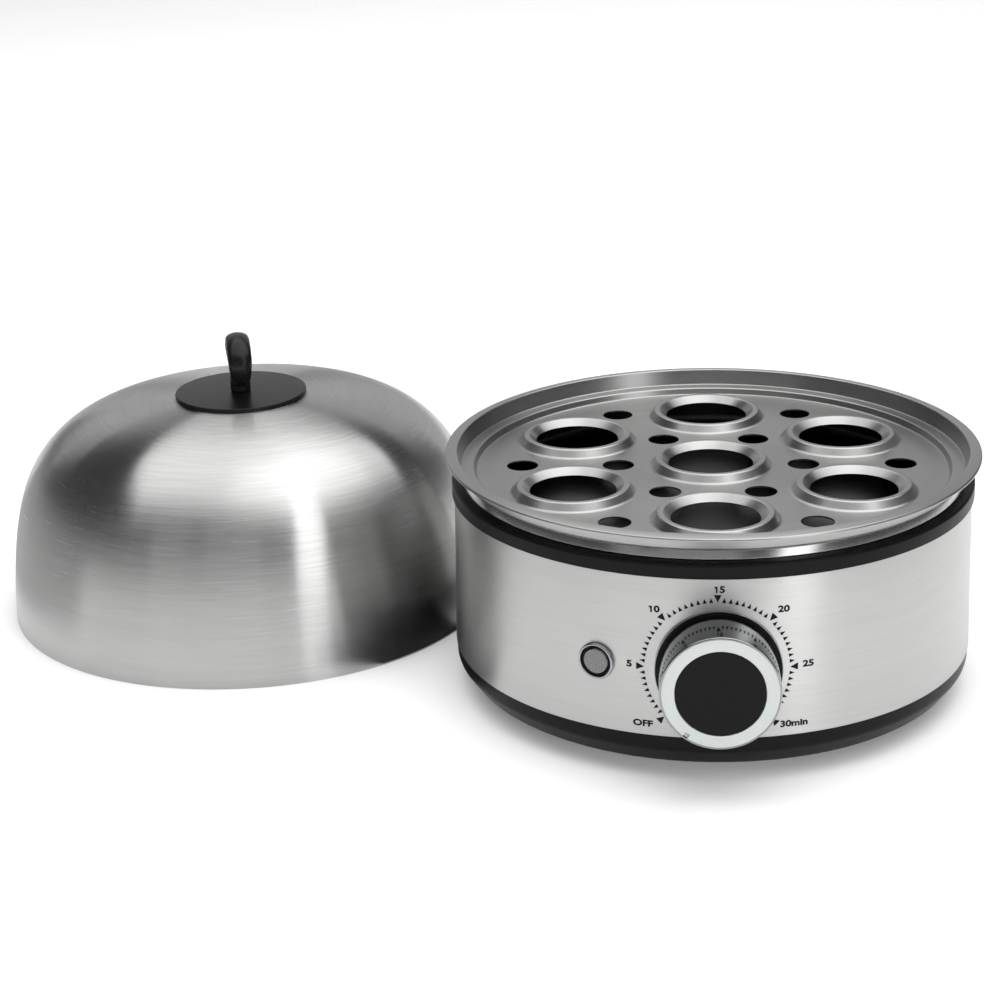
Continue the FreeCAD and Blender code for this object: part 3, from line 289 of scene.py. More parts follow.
def dome_z(radius):
    """The height of the dome's outside at a radius."""
    rows = dome_rows(0, 400)[::-1]
    return float(np.interp(radius, [row[0] for row in rows], [row[1] for row in rows]))


def make_dome():
    """The spun dome, open below and round the hole of its screw."""
    count = 90
    outside = [row for row in dome_rows(0, count) if row[0] > lid_hole_r]
    inside = [row for row in dome_rows(dome_t, count) if row[0] > lid_hole_r]
    rows = outside + [(lid_hole_r, dome_h), (lid_hole_r, dome_h - dome_t)] + inside[::-1]
    dome = turned("dome", rows, steps=192, closed=True)
    dome.location = (lid_x * mm, lid_y * mm, 0)
    settle(dome)
    smooth(dome, degrees=40)
    set_on(dome, "lid", "brushed_steel", "lid_dome")
    return dome


def make_disc():
    """The disc on the crown, whose underside follows the dome."""
    lift, edge = 0.02, 0.4
    under = [(r, dome_z(r) + lift) for r in (lid_hole_r, 8.0, 14.0, 19.0, 22.0, disc_r)]
    rows = under + [(disc_r, disc_top, edge), (lid_hole_r, disc_top)]
    disc = turned("lid_disc_piece", rows, steps=128, closed=True)
    disc.location = (lid_x * mm, lid_y * mm, 0)
    settle(disc)
    smooth(disc)
    set_on(disc, "lid", "black_plastic", "lid_disc")
    return disc


def make_handle():
    """A finger ring: an oval section carried round an oval path, blended into its short foot."""
    half_l, half_h, thick = 10.7, 6.8, 4.6
    low_w, high_w = 6.7, 8.3
    widen_from, widen_over = 5.5, 7.5
    middle = 11.1
    foot_r, foot_h, foot_edge, taper, taper_h = 3.5, 5.5, 0.5, 0.1, 1.4
    voxel, smoothing = 0.24, 9
    facing = -77
    stations = 56

    def place(index):
        angle = turn * index / stations
        return Vector((half_l * math.cos(angle), 0, middle + half_h * math.sin(angle)))

    def lean(index):
        angle = turn * index / stations
        return math.atan2(half_h * math.cos(angle), -half_l * math.sin(angle))

    def width(index):
        z = place(index).z
        return low_w + (high_w - low_w) * min(max((z - widen_from) / widen_over, 0), 1)

    bpy.ops.object.select_all(action="DESELECT")
    bpy.ops.mesh.primitive_circle_add(vertices=28, radius=0.5, location=(0, 0, 0))
    ring = bpy.context.object
    ring.name = ring.data.name = "finger_ring"
    ring.scale = (thick * mm, width(0) * mm, 1)
    ring.location = place(0) * mm
    settle(ring)
    bpy.ops.object.mode_set(mode="EDIT")
    bpy.ops.mesh.select_mode(type="EDGE")
    bpy.ops.mesh.select_all(action="SELECT")
    for index in range(stations - 1):
        step = (place(index + 1) - place(index)) * mm
        centre = place(index + 1) * mm
        swing = (lean(index + 1) - lean(index) + math.pi) % turn - math.pi
        bpy.ops.mesh.extrude_region_move(TRANSFORM_OT_translate={"value": step})
        bpy.ops.transform.rotate(value=swing, orient_axis="Y", center_override=centre)
        wider = width(index + 1) / width(index)
        bpy.ops.transform.resize(value=(1, wider, 1), center_override=centre)
    bpy.ops.mesh.select_all(action="DESELECT")
    bpy.ops.mesh.select_non_manifold()
    bpy.ops.mesh.bridge_edge_loops()
    bpy.ops.mesh.select_all(action="SELECT")
    bpy.ops.mesh.normals_make_consistent(inside=False)
    bpy.ops.object.mode_set(mode="OBJECT")
    foot = turned("foot", [
        (0, 0), (foot_r + taper, 0, foot_edge), (foot_r, taper_h), (foot_r, foot_h), (0, foot_h),
    ], steps=48)
    cut_by(ring, foot, "UNION")
    finished_with(ring, "REMESH", mode="VOXEL", voxel_size=voxel * mm)
    finished_with(ring, "SMOOTH", factor=0.5, iterations=smoothing)
    ring.rotation_euler = (0, 0, math.radians(facing))
    ring.location = (lid_x * mm, lid_y * mm, disc_top * mm)
    settle(ring)
    bpy.ops.object.shade_smooth()
    set_on(ring, "lid", "black_plastic", "lid_handle")
    return ring


# Base
def make_tray():
    """The pressed tray: a turned flange and step, seven collars and twelve round holes, filled between."""
    floor_z, ledge_z, sheet = 70.2, 72.35, 0.5
    flange_low, flange_high, top_z = 76.4, 77.0, 77.6
    flange_r, lip_r, wall_r = 84.0, 80.2, 79.1
    ledge_r, step_r, floor_r = 75.0, 74.3, 72.6
    bend = 0.55
    pitch = 49.5
    collar_r, foot_r, crest_out_r, crest_in_r, hole_r = 20.7, 19.2, 17.3, 15.7, 13.4
    crest_z, hole_z = 72.9, 70.8
    foot_bend, crest_bend = 1.4, 0.9
    steam_rings, steam_r = (29.205, 59.697), 5.0
    tray = turned("tray_sheet", [
        (flange_r, flange_low), (flange_r, flange_high, bend), (lip_r, top_z, bend),
        (wall_r, ledge_z, bend), (ledge_r, ledge_z, bend), (step_r, floor_z, bend), (floor_r, floor_z),
    ], steps=192)
    collar = turned("collar", [
        (collar_r, floor_z), (foot_r, floor_z, foot_bend), (crest_out_r, crest_z, crest_bend),
        (crest_in_r, crest_z, crest_bend), (hole_r, hole_z),
    ], steps=96)
    pieces = [tray, collar]
    for index in range(6):
        angle = math.radians(60 * index - 90)
        copy = copied(collar, "collar_copy")
        copy.location = (pitch * mm * math.cos(angle), pitch * mm * math.sin(angle), 0)
        settle(copy)
        pieces.append(copy)
    tray = joined(pieces)
    bpy.ops.object.mode_set(mode="EDIT")
    for ring_r in steam_rings:
        for index in range(6):
            angle = math.radians(60 * index - 60)
            place = (ring_r * mm * math.cos(angle), ring_r * mm * math.sin(angle), floor_z * mm)
            bpy.ops.mesh.primitive_circle_add(vertices=48, radius=steam_r * mm, location=place)
    bpy.ops.object.mode_set(mode="OBJECT")
    mesh = tray.data
    uses = {}
    for face in mesh.polygons:
        for key in face.edge_keys:
            uses[key] = uses.get(key, 0) + 1
    for part in (mesh.vertices, mesh.edges, mesh.polygons):
        part.foreach_set("select", [False] * len(part))
    for edge in mesh.edges:
        level = all(abs(mesh.vertices[v].co.z - floor_z * mm) < same_place for v in edge.vertices)
        edge.select = level and uses.get(edge.key, 0) < 2
    bpy.ops.object.mode_set(mode="EDIT")
    bpy.ops.mesh.select_mode(type="EDGE")
    bpy.ops.mesh.fill(use_beauty=False)
    bpy.ops.mesh.select_all(action="SELECT")
    bpy.ops.mesh.remove_doubles(threshold=same_seam)
    bpy.ops.mesh.normals_make_consistent(inside=False)
    bpy.ops.object.mode_set(mode="OBJECT")
    face_way(tray, Vector((0, 0, 1)))
    walled(tray, sheet)
    smooth(tray)
    set_on(tray, "tray", "brushed_steel", "egg_tray")
    return tray


def make_bowl():
    """The water bowl, whose turned-down rim leans in a little toward its top."""
    rim_r, lean, lip_r, floor_r, sheet = 79.0, 0.9, 76.2, 75.6, 0.6
    curl, curl_h, curl_bend, bend, floor_bend = 0.1, 0.5, 0.3, 0.8, 5.0
    bowl = turned("bowl", [
        (rim_r - curl, ring_high), (rim_r, ring_high + curl_h, curl_bend), (rim_r - lean, bowl_high, bend),
        (lip_r, bowl_high, bend), (floor_r, bowl_low, floor_bend), (0, bowl_low),
    ], steps=192)
    face_way(bowl, Vector((0, 0, 1)))
    walled(bowl, sheet)
    smooth(bowl)
    set_on(bowl, "base", "brushed_steel", "heating_bowl")
    return bowl


def make_rim():
    """The black upper ring, with the spigot that fits in the skirt and the seat of the bowl's gasket."""
    ring_r, spigot_r, lead_r, lead_h = 82.2, 80.8, 79.2, 2.4
    inner_r, seat_r, seat_z = 77.3, 78.0, 67.4
    shoulder, seat_edge = 1.0, 0.15
    rim = turned("rim", [
        (inner_r, bowl_low), (lead_r, bowl_low), (spigot_r, bowl_low + lead_h), (spigot_r, skirt_high),
        (ring_r, skirt_high), (ring_r, ring_high, shoulder), (seat_r, ring_high, seat_edge),
        (seat_r, seat_z), (inner_r, seat_z),
    ], steps=192, closed=True)
    smooth(rim)
    set_on(rim, "base", "black_plastic", "rim_ring")


def skirt_inside(name):
    """A solid that fills the skirt out to its outer face, by which pieces are cut to lie on it."""
    low, high = 5.0, 75.0
    return turned(name, [(0, low), (skirt_r(low), low), (skirt_r(high), high), (0, high)], steps=192)


def make_skirt():
    """The steel band, with its holes for the timer, the lamp and the cord inlet."""
    edge = 0.12
    timer_r, lamp_r, inlet_r = 7.7, 4.7, 5.5
    near, far = 70, 90
    skirt = turned("skirt", [
        (skirt_low_r - skirt_wall, skirt_low), (skirt_low_r, skirt_low, edge),
        (skirt_high_r, skirt_high, edge), (skirt_high_r - skirt_wall, skirt_high),
    ], steps=256, closed=True)
    cutters = []
    for radius, height, way in (
        (timer_r, dial_z, 0), (lamp_r, lamp_z, lamp_turn), (inlet_r, cord_z, cord_turn),
    ):
        cutter = turned("cutter", [(0, near), (radius, near), (radius, far), (0, far)], steps=48)
        cutters.append(faced(cutter, height, way))
    cut_by(skirt, joined(cutters))
    smooth(skirt)
    set_on(skirt, "base", "brushed_steel", "skirt_shell")
    return skirt


def make_tub():
    """The black tub with its screw bosses and, under its floor, the cooling slots and screw holes."""
    under, floor_top = 2.5, 4.9
    bottom_r, knee_r, knee_z, side_r, side_z = 73.6, 78.0, 4.6, 82.1, 10.0
    edge, round_r = 0.6, 3.0
    spigot_r, spigot_z, inner_r = 80.9, 21.0, 78.7
    inner_knee_r, inner_knee_z, inner_floor_r = 75.8, 7.1, 71.4
    boss_low, boss_r, boss_foot_r, boss_foot_z, boss_top, boss_edge = 4.4, 4.6, 6.4, 11.2, 46.4, 0.3
    head_r, head_z, shank_r, through_low, through_high = 4.0, 9.0, 2.2, -3.0, 50.0
    slot_l, slot_w, slot_deep, slot_round = 23.0, 3.0, 6.0, 1.45
    slot_x, slot_z, slot_count = 34.0, 3.5, 12
    tub = turned("tub", [
        (0, under), (bottom_r, under, edge), (knee_r, knee_z, round_r), (side_r, side_z, round_r),
        (side_r, skirt_low), (spigot_r, skirt_low), (spigot_r, spigot_z), (inner_r, spigot_z),
        (inner_r, side_z), (inner_knee_r, inner_knee_z), (inner_floor_r, floor_top), (0, floor_top),
    ], steps=192)
    bosses, cutters = [], []
    for index in range(4):
        angle = math.radians(45 + 90 * index)
        place = (screw_pitch_r * mm * math.cos(angle), screw_pitch_r * mm * math.sin(angle), 0)
        boss = turned("boss", [
            (0, boss_low), (boss_foot_r, boss_low), (boss_foot_r, boss_foot_z, boss_edge),
            (boss_r, boss_foot_z, boss_edge), (boss_r, boss_top), (0, boss_top),
        ], steps=48)
        hole = turned("hole", [
            (0, through_low), (head_r, through_low), (head_r, head_z), (shank_r, head_z),
            (shank_r, through_high), (0, through_high),
        ], steps=48)
        for piece in (boss, hole):
            piece.location = place
            settle(piece)
        bosses.append(boss)
        cutters.append(hole)
    cut_by(tub, joined(bosses), "UNION")
    bpy.ops.object.select_all(action="DESELECT")
    bpy.ops.mesh.primitive_cube_add(size=1, location=(0, 0, 0))
    slot = bpy.context.object
    slot.scale = (slot_l * mm, slot_w * mm, slot_deep * mm)
    slot.location = (slot_x * mm, 0, slot_z * mm)
    settle(slot)
    bpy.ops.object.mode_set(mode="EDIT")
    bpy.ops.mesh.select_mode(type="EDGE")
    bpy.ops.mesh.select_all(action="DESELECT")
    bpy.ops.object.mode_set(mode="OBJECT")
    for edge in slot.data.edges:
        first, last = (slot.data.vertices[v].co for v in edge.vertices)
        edge.select = abs(first.z - last.z) > slot_w * mm / 2
    bpy.ops.object.mode_set(mode="EDIT")
    bpy.ops.mesh.bevel(offset=slot_round * mm, segments=6)
    bpy.ops.object.mode_set(mode="OBJECT")
    for index in range(slot_count):
        cutter = copied(slot, "cutter")
        cutter.rotation_euler = (0, 0, math.radians(15 + 360 / slot_count * index))
        settle(cutter)
        cutters.append(cutter)
    bpy.data.objects.remove(slot)
    cut_by(tub, joined(cutters))
    smooth(tub)
    set_on(tub, "base", "black_plastic", "base_tub")


def make_feet():
    """Four rubber feet, each with the plug that holds it in the tub's floor."""
    pad_r, pad_h, plug_r, plug_h = 7.0, 2.5, 3.0, 6.4
    low_edge, high_edge = 0.5, 0.15
    first = turned("foot_pad", [
        (0, 0), (pad_r, 0, low_edge), (pad_r, pad_h, high_edge), (plug_r, pad_h), (plug_r, plug_h),
        (0, plug_h),
    ], steps=64)
    for index, node in enumerate(("foot_right", "foot_back", "foot_left", "foot_front")):
        angle = math.radians(90 * index)
        pad = first if index == 3 else copied(first, "pad_" + node)
        pad.name = "pad_" + node
        pad.location = (foot_pitch_r * mm * math.cos(angle), foot_pitch_r * mm * math.sin(angle), 0)
        settle(pad)
        smooth(pad)
        set_on(pad, "base", "rubber", node)


# Dial, knob, lamp and cord inlet
def make_bezel():
    """The black plate behind the knob and the bright band round it, both cut to the skirt's curve."""
    front, rear = dial_front + 0.3, 78.5
    set_back, bushing_r, band_r, band_wall = 0.1, 4.4, 18.5, 0.28
    edge, band_edge = 0.1, 0.12
    plate = turned("bezel_plate", [
        (bushing_r, rear), (dial_r, rear), (dial_r, front - set_back, edge), (bushing_r, front - set_back),
    ], steps=128, closed=True)
    faced(plate, dial_z)
    cut_by(plate, skirt_inside("cutter"))
    smooth(plate)
    set_on(plate, "base", "black_plastic", "dial_bezel")
    band = turned("bezel_band", [
        (band_r - band_wall, rear), (band_r, rear), (band_r, front, band_edge),
        (band_r - band_wall, front, edge),
    ], steps=160, closed=True)
    faced(band, dial_z)
    cut_by(band, skirt_inside("cutter"))
    smooth(band, degrees=40)
    set_on(band, "base", "chrome", "dial_bezel")


def make_knob():
    """The knob's shell with its hub and recessed face, the face ring with its notch, and the black cap."""
    rear, front = dial_front + 1.6, dial_front + 16.2
    knob_r, inner_r, lip_r, cap_r = 17.3, 15.7, 16.75, 12.97
    shaft_r, hub_r, hub_back = 3.02, 5.6, 0.6
    roof, ring_deep, cap_deep, shaft_deep = 3.0, 0.5, 1.05, 3.9
    rear_edge, front_edge, play = 0.25, 0.5, 0.05
    shell = turned("knob", [
        (0, front - shaft_deep), (shaft_r, front - shaft_deep), (shaft_r, rear + hub_back),
        (hub_r, rear + hub_back), (hub_r, front - roof), (inner_r, front - roof), (inner_r, rear),
        (knob_r, rear, rear_edge), (knob_r, front, front_edge), (lip_r, front), (lip_r, front - ring_deep),
        (cap_r, front - ring_deep), (cap_r, front - cap_deep), (0, front - cap_deep),
    ], steps=160)
    faced(shell, dial_z)
    smooth(shell, degrees=40)
    set_on(shell, "knob", "chrome", "knob_shell")
    ring_out, ring_in, ring_edge = lip_r - play, 13.0, 0.12
    ring = turned("knob_face", [
        (ring_in, front - ring_deep), (ring_out, front - ring_deep), (ring_out, front, ring_edge),
        (ring_in, front, ring_edge),
    ], steps=160, closed=True)
    notch_w, notch_l, notch_round, notch_turn = 1.6, 3.0, 0.25, -217
    bpy.ops.object.select_all(action="DESELECT")
    bpy.ops.mesh.primitive_cube_add(size=1, location=(0, 0, 0))
    notch = bpy.context.object
    notch.scale = (notch_w * mm, notch_l * mm, notch_l * mm)
    notch.location = (0, ring_out * mm, front * mm)
    settle(notch)
    finished_with(notch, "BEVEL", width=notch_round * mm, segments=3)
    notch.rotation_euler = (0, 0, math.radians(notch_turn))
    settle(notch)
    cut_by(ring, notch)
    faced(ring, dial_z)
    smooth(ring, degrees=40)
    set_on(ring, "knob", "aluminium", "knob_ring")
    cover_r, cover_back, cover_edge = 12.9, 0.15, 0.2
    cap = turned("knob_cover", [
        (0, front - cap_deep), (cover_r, front - cap_deep), (cover_r, front - cover_back, cover_edge),
        (0, front - cover_back),
    ], steps=128)
    faced(cap, dial_z)
    smooth(cap, degrees=40)
    set_on(cap, "knob", "black_plastic", "knob_cap")


def make_lamp():
    """The lamp's bright ring, its lens, and a black ring between them that is painted shade, standing for the
    shadow in the lens's recess.
    """
    tube_r, bore_r, tube_rear, flange_rear = 4.6, 4.15, 67.0, 80.9
    flange_r, mouth_r, seat_r, seat_deep = 5.65, 4.9, 4.7, 1.1
    lens_r, lens_foot_r, lens_foot_deep, lens_back = 3.8, 4.1, 1.6, 0.05
    recess_shade_in, recess_shade_out, recess_shade_lip, recess_shade_high, recess_shade_low, recess_shade_deep = 3.82, 4.66, 4.4, 0.5, 0.9, 1.05
    flange_round, mouth_round, lens_round, edge = 0.5, 0.2, 0.25, 0.1
    flange = turned("lamp_flange", [
        (bore_r, tube_rear), (tube_r, tube_rear), (tube_r, flange_rear), (flange_r, flange_rear),
        (flange_r, lamp_front, flange_round), (mouth_r, lamp_front, mouth_round),
        (seat_r, lamp_front - seat_deep), (bore_r, lamp_front - seat_deep),
    ], steps=96, closed=True)
    faced(flange, lamp_z, lamp_turn)
    smooth(flange, degrees=40)
    set_on(flange, "base", "chrome", "lamp_bezel")
    lens = turned("lens", [
        (0, lamp_front - lens_foot_deep), (lens_foot_r, lamp_front - lens_foot_deep),
        (lens_foot_r, lamp_front - seat_deep), (lens_r, lamp_front - seat_deep, edge),
        (lens_r, lamp_front - lens_back, lens_round), (0, lamp_front - lens_back),
    ], steps=96)
    faced(lens, lamp_z, lamp_turn)
    smooth(lens, degrees=40)
    set_on(lens, "base", "grey_lens", "lamp_lens")
    # Painted shade: a black ring laid in the recess round the lens, where its shadow falls.
    recess_shade = turned("lamp_liner", [
        (recess_shade_in, lamp_front - recess_shade_deep), (recess_shade_out, lamp_front - recess_shade_deep),
        (recess_shade_out, lamp_front - recess_shade_high, edge), (recess_shade_lip, lamp_front - recess_shade_high, edge),
        (recess_shade_in, lamp_front - recess_shade_low),
    ], steps=96, closed=True)
    faced(recess_shade, lamp_z, lamp_turn)
    smooth(recess_shade, degrees=40)
    set_on(recess_shade, "base", "black_plastic")


def make_inlet():
    """The bush at the back that a mains cord would pass."""
    neck_r, head_r, rear, seat = 5.4, 7.5, 72.4, 81.4
    rear_round, head_round, mouth_round = 0.3, 1.0, 0.4
    bush = turned("inlet_bush", [
        (cord_r, rear, rear_round), (neck_r, rear), (neck_r, seat), (head_r, seat),
        (head_r, cord_front, head_round), (cord_r, cord_front, mouth_round),
    ], steps=96, closed=True)
    faced(bush, cord_z, cord_turn)
    smooth(bush, degrees=40)
    set_on(bush, "base", "black_plastic", "cord_gland")


def make_marks(skirt):
    """The printed scale: a row of small arrows, a larger one at every five minutes, and the numbers."""
    front = -95 * mm
    shift = -0.4
    first_angle, angle_step, count, each = -135, 5, 55, 9
    small_r, small_w, small_h = 21.4, 1.2, 1.55
    large_w, large_h = 2.2, 2.3
    large_r = (23.0, 22.5, 22.5, 22.5, 22.5, 22.5, 23.9)
    triangle_w, triangle_h = 0.866, 0.75
    letter_h, letter_squash, ink, paint = 3.3, 0.82, 0.14, 0.03
    marks = []

    def arrow(radius, angle, across, tall, inward):
        bpy.ops.object.select_all(action="DESELECT")
        bpy.ops.mesh.primitive_circle_add(vertices=3, radius=0.5, fill_type="NGON", location=(0, 0, 0))
        mark = bpy.context.object
        mark.name = "mark"
        mark.scale = (across / triangle_w * mm, (-1 if inward else 1) * tall / triangle_h * mm, 1)
        settle(mark)
        mark.rotation_euler = (math.pi / 2, angle, 0)
        x, z = radius * math.sin(angle) + shift, radius * math.cos(angle)
        mark.location = (x * mm, front, (dial_z + z) * mm)
        settle(mark)
        marks.append(mark)

    for step in range(count):
        angle = math.radians(first_angle + step * angle_step)
        if step % each == 0:
            arrow(large_r[step // each], angle, large_w, large_h, True)
        else:
            arrow(small_r, angle, small_w, small_h, False)
    words = (
        ("OFF", -21.8, -18.0), ("5", -25.7, 0.3), ("0", -17.7, 18.1), ("5", 0.9, 24.8),
        ("20", 18.5, 18.1), ("25", 25.9, 0.4), ("30min", 22.0, -17.9),
    )
    for word, x, z in words:
        bpy.ops.object.select_all(action="DESELECT")
        bpy.ops.object.text_add(location=(0, 0, 0))
        text = bpy.context.object
        text.data.body = word
        text.data.align_x = "CENTER"
        text.data.align_y = "CENTER"
        text.data.size = letter_h * mm
        text.data.offset = ink * mm
        text.data.resolution_u = 4
        bpy.ops.object.convert(target="MESH")
        text = bpy.context.object
        text.scale = (1, letter_squash, 1)
        text.rotation_euler = (math.pi / 2, 0, 0)
        text.location = (x * mm, front, (dial_z + z) * mm)
        settle(text)
        marks.append(text)
    stem, flag = (0.5, 1.95, 0.0, 0.0, 0.0), (0.44, 0.85, -0.9, -0.32, 0.62)
    for x, z in ((-19.3, 18.1), (-0.7, 24.8)):
        for wide, tall, lean, side, up in (stem, flag):
            bpy.ops.object.select_all(action="DESELECT")
            bpy.ops.mesh.primitive_plane_add(size=1, location=(0, 0, 0))
            stroke = bpy.context.object
            stroke.scale = (wide * mm, tall * mm, 1)
            settle(stroke)
            stroke.rotation_euler = (math.pi / 2, lean, 0)
            stroke.location = ((x + side) * mm, front, (dial_z + z + up) * mm)
            settle(stroke)
            marks.append(stroke)
    scale = joined(marks)
    scale.name = scale.data.name = "dial_print"
    bpy.ops.object.mode_set(mode="EDIT")
    bpy.ops.mesh.select_all(action="SELECT")
    bpy.ops.mesh.remove_doubles(threshold=same_place)
    bpy.ops.mesh.normals_make_consistent(inside=False)
    bpy.ops.object.mode_set(mode="OBJECT")
    face_way(scale, Vector((0, -1, 0)))
    finished_with(
        scale, "SHRINKWRAP", target=skirt, wrap_method="PROJECT", wrap_mode="ABOVE_SURFACE",
        use_project_y=True, use_positive_direction=True, use_negative_direction=False, offset=paint * mm,
    )
    finished_with(scale, "SOLIDIFY", thickness=paint * mm, offset=-1)
    set_on(scale, "base", "black_plastic")


dome = make_dome()
disc = make_disc()
handle = make_handle()
tray = make_tray()
bowl = make_bowl()
make_rim()
skirt = make_skirt()
make_tub()
make_feet()
make_bezel()
make_knob()
make_lamp()
make_inlet()
make_marks(skirt)


# Finishes
class Value:
    """One socket of a finish. Arithmetic on it adds Math nodes."""

    def __init__(self, finish, socket):
        self.finish = finish
        self.socket = socket

    def join(self, operation, first, second=0.0):
        return self.finish.node("ShaderNodeMath", {"operation": operation}, {0: first, 1: second})

    def __add__(self, other):
        return self.join("ADD", self, other)

    def __sub__(self, other):
        return self.join("SUBTRACT", self, other)

    def __mul__(self, other):
        return self.join("MULTIPLY", self, other)

    def __truediv__(self, other):
        return self.join("DIVIDE", self, other)

    def __pow__(self, other):
        return self.join("POWER", self, other)


class Finish:
    """A material and its nodes."""

    def __init__(self, name, **uniform):
        self.material = bpy.data.materials.new(name)
        self.material.use_nodes = True
        self.tree = self.material.node_tree
        self.shader = self.tree.nodes["Principled BSDF"]
        for socket, value in uniform.items():
            self.feed(self.socket(socket), value)
        self.place = self.node("ShaderNodeTexCoord", out="Object")

    def socket(self, name):
        """The shader's socket of a name given in small letters."""
        return self.shader.inputs[name.replace("_", " ").title().replace("Ior", "IOR")]

    def node(self, kind, settings=None, values=None, out=0):
        """Adds a node, sets it, and gives its sockets values or links."""
        node = self.tree.nodes.new(kind)
        for name, value in (settings or {}).items():
            setattr(node, name, value)
        for key, value in (values or {}).items():
            self.feed(node.inputs[key], value)
        return Value(self, node.outputs[out])

    def feed(self, socket, value):
        """Links a value to a socket, or sets the socket to a number or colour."""
        if isinstance(value, Value):
            self.tree.links.new(value.socket, socket)
        else:
            socket.default_value = value

    def noise(self, vector, scale, detail=3.0, roughness=0.5, fourth=None):
        """A soft noise from 0 to 1, in four dimensions where a fourth is given."""
        settings = {"noise_dimensions": "4D" if fourth is not None else "3D"}
        values = {"Vector": vector, "Scale": scale, "Detail": detail, "Roughness": roughness}
        if fourth is not None:
            values["W"] = fourth
        return self.node("ShaderNodeTexNoise", settings, values, out="Fac")

    def mix(self, share, first, second):
        """A mix of two colours."""
        return self.node("ShaderNodeMix", {"data_type": "RGBA"}, {0: share, 6: first, 7: second}, out=2)

    def parts(self, vector):
        """The three parts of a place."""
        node = self.node("ShaderNodeSeparateXYZ", {}, {0: vector}).socket.node
        return [Value(self, node.outputs[axis]) for axis in "XYZ"]

    def crossed(self, along, across, pitch):
        """Two sets of waves that cross, from 0 to 1, with their pitch in metres."""
        first, second = (
            self.node("ShaderNodeMath", {"operation": "SINE"}, {0: way * (turn / pitch)})
            for way in (along + across, along - across)
        )
        return first * second * 0.5 + 0.5

    def spread(self, value, low, high):
        """A value from 0 to 1 spread between two others."""
        return value * (high - low) + low

    def bump(self, height, distance, strength):
        """Raises the surface by a height from 0 to 1 over a distance in metres."""
        values = {"Height": height, "Distance": distance, "Strength": strength}
        self.feed(self.socket("normal"), self.node("ShaderNodeBump", {}, values))

    def set(self, **sockets):
        """Feeds the shader's sockets and gives back the material."""
        for socket, value in sockets.items():
            self.feed(self.socket(socket), value)
        return self.material


def grey(value):
    """An even grey with full cover."""
    return (value, value, value, 1.0)


def tinted(tint, share=1.0):
    """A colour made lighter or darker by a share, with full cover."""
    return (*[min(part * share, 1) for part in tint], 1)


def ring_brushed(name, centre=(0, 0), tone=0.53, rough=0.36, drawn_out=0.85, scratch=0.2, grain=0.05,
                 painted_shade_inside=None):
    """Steel brushed round an axis: long fine scratches that follow the turning.

    The last argument holds the share of the tone that is left near the axis, and the two radii in
    millimetres between which it grows to the whole. This is painted shade: it darkens the inside of a
    hollow piece that lies under others, as if that inside were in shadow.
    """
    off_axis = 1e-5
    band_tone, cloud_tone, blue_share = 0.03, 0.015, 0.99
    fine_rough, cloud_rough, scratch_depth = 0.03, 0.02, 0.000004
    finish = Finish(name, metallic=1.0, anisotropic=drawn_out, anisotropic_rotation=0.25)
    place = finish.node("ShaderNodeMapping", {}, {
        "Vector": finish.place, "Location": (-centre[0] * mm, -centre[1] * mm, 0),
    })
    x, y, z = finish.parts(place)
    across = (x * x + y * y) ** 0.5

    def drawn_round(pull, pitch):
        """Places that change slowly round the axis and fast across it."""
        return finish.node("ShaderNodeCombineXYZ", {}, {
            "X": x / (across + off_axis) * pull, "Y": y / (across + off_axis) * pull, "Z": across * pitch,
        })

    fine = finish.noise(drawn_round(4.0, 1800.0), scale=1.0, detail=4.0, roughness=0.6, fourth=z * 2200.0)
    bands = finish.noise(drawn_round(0.8, 260.0), scale=1.0, fourth=z * 320.0)
    cloud = finish.noise(place, scale=30.0)
    tone_now = finish.spread(fine, tone - grain, tone + grain) + finish.spread(bands, -band_tone, band_tone)
    tone_now = tone_now + finish.spread(cloud, -cloud_tone, cloud_tone)
    # Painted shade: the tone falls toward the axis, so a hollow piece's inside reads as shadowed.
    if painted_shade_inside is not None:
        left, near, far = painted_shade_inside
        unshaded = finish.node("ShaderNodeMapRange", {"interpolation_type": "SMOOTHSTEP"}, {
            "Value": across, "From Min": near * mm, "From Max": far * mm,
        })
        tone_now = tone_now * finish.spread(unshaded, left, 1.0)
    colour = finish.node("ShaderNodeCombineColor", {}, {0: tone_now, 1: tone_now, 2: tone_now * blue_share})
    roughness = finish.spread(fine, rough - fine_rough, rough + fine_rough)
    roughness = roughness + finish.spread(cloud, -cloud_rough, cloud_rough)
    finish.bump(fine * 0.7 + bands * 0.3, scratch_depth, scratch)
    return finish.set(base_color=colour, roughness=roughness)


def plain_metal(name, tint, rough, grain=900.0, spread=0.04):
    """Plated, cast or polished metal with a faint cloud and fine grain."""
    finish = Finish(name, metallic=1.0)
    cloud = finish.noise(finish.place, scale=60.0, detail=4.0)
    fine = finish.noise(finish.place, scale=grain, detail=2.0)
    colour = finish.mix(cloud, tinted(tint, 0.9), tinted(tint))
    finish.bump(fine, distance=0.00001, strength=0.12)
    roughness = finish.spread(cloud * 0.5 + fine * 0.5, rough - spread, rough + spread)
    return finish.set(base_color=colour, roughness=roughness)


def moulded(name, tint, rough, grain=1400.0, deep=0.00003, strength=0.25, gloss=0.5):
    """Moulded plastic or rubber with a fine spark grain and faint handling marks."""
    finish = Finish(name, specular_ior_level=gloss)
    cloud = finish.noise(finish.place, scale=45.0, detail=4.0)
    fine = finish.noise(finish.place, scale=grain, detail=2.0, roughness=0.6)
    colour = finish.mix(cloud, tinted(tint, 0.8), tinted(tint, 1.2))
    finish.bump(fine, deep, strength)
    roughness = finish.spread(cloud * 0.6 + fine * 0.4, rough - 0.07, rough + 0.07)
    return finish.set(base_color=colour, roughness=roughness)


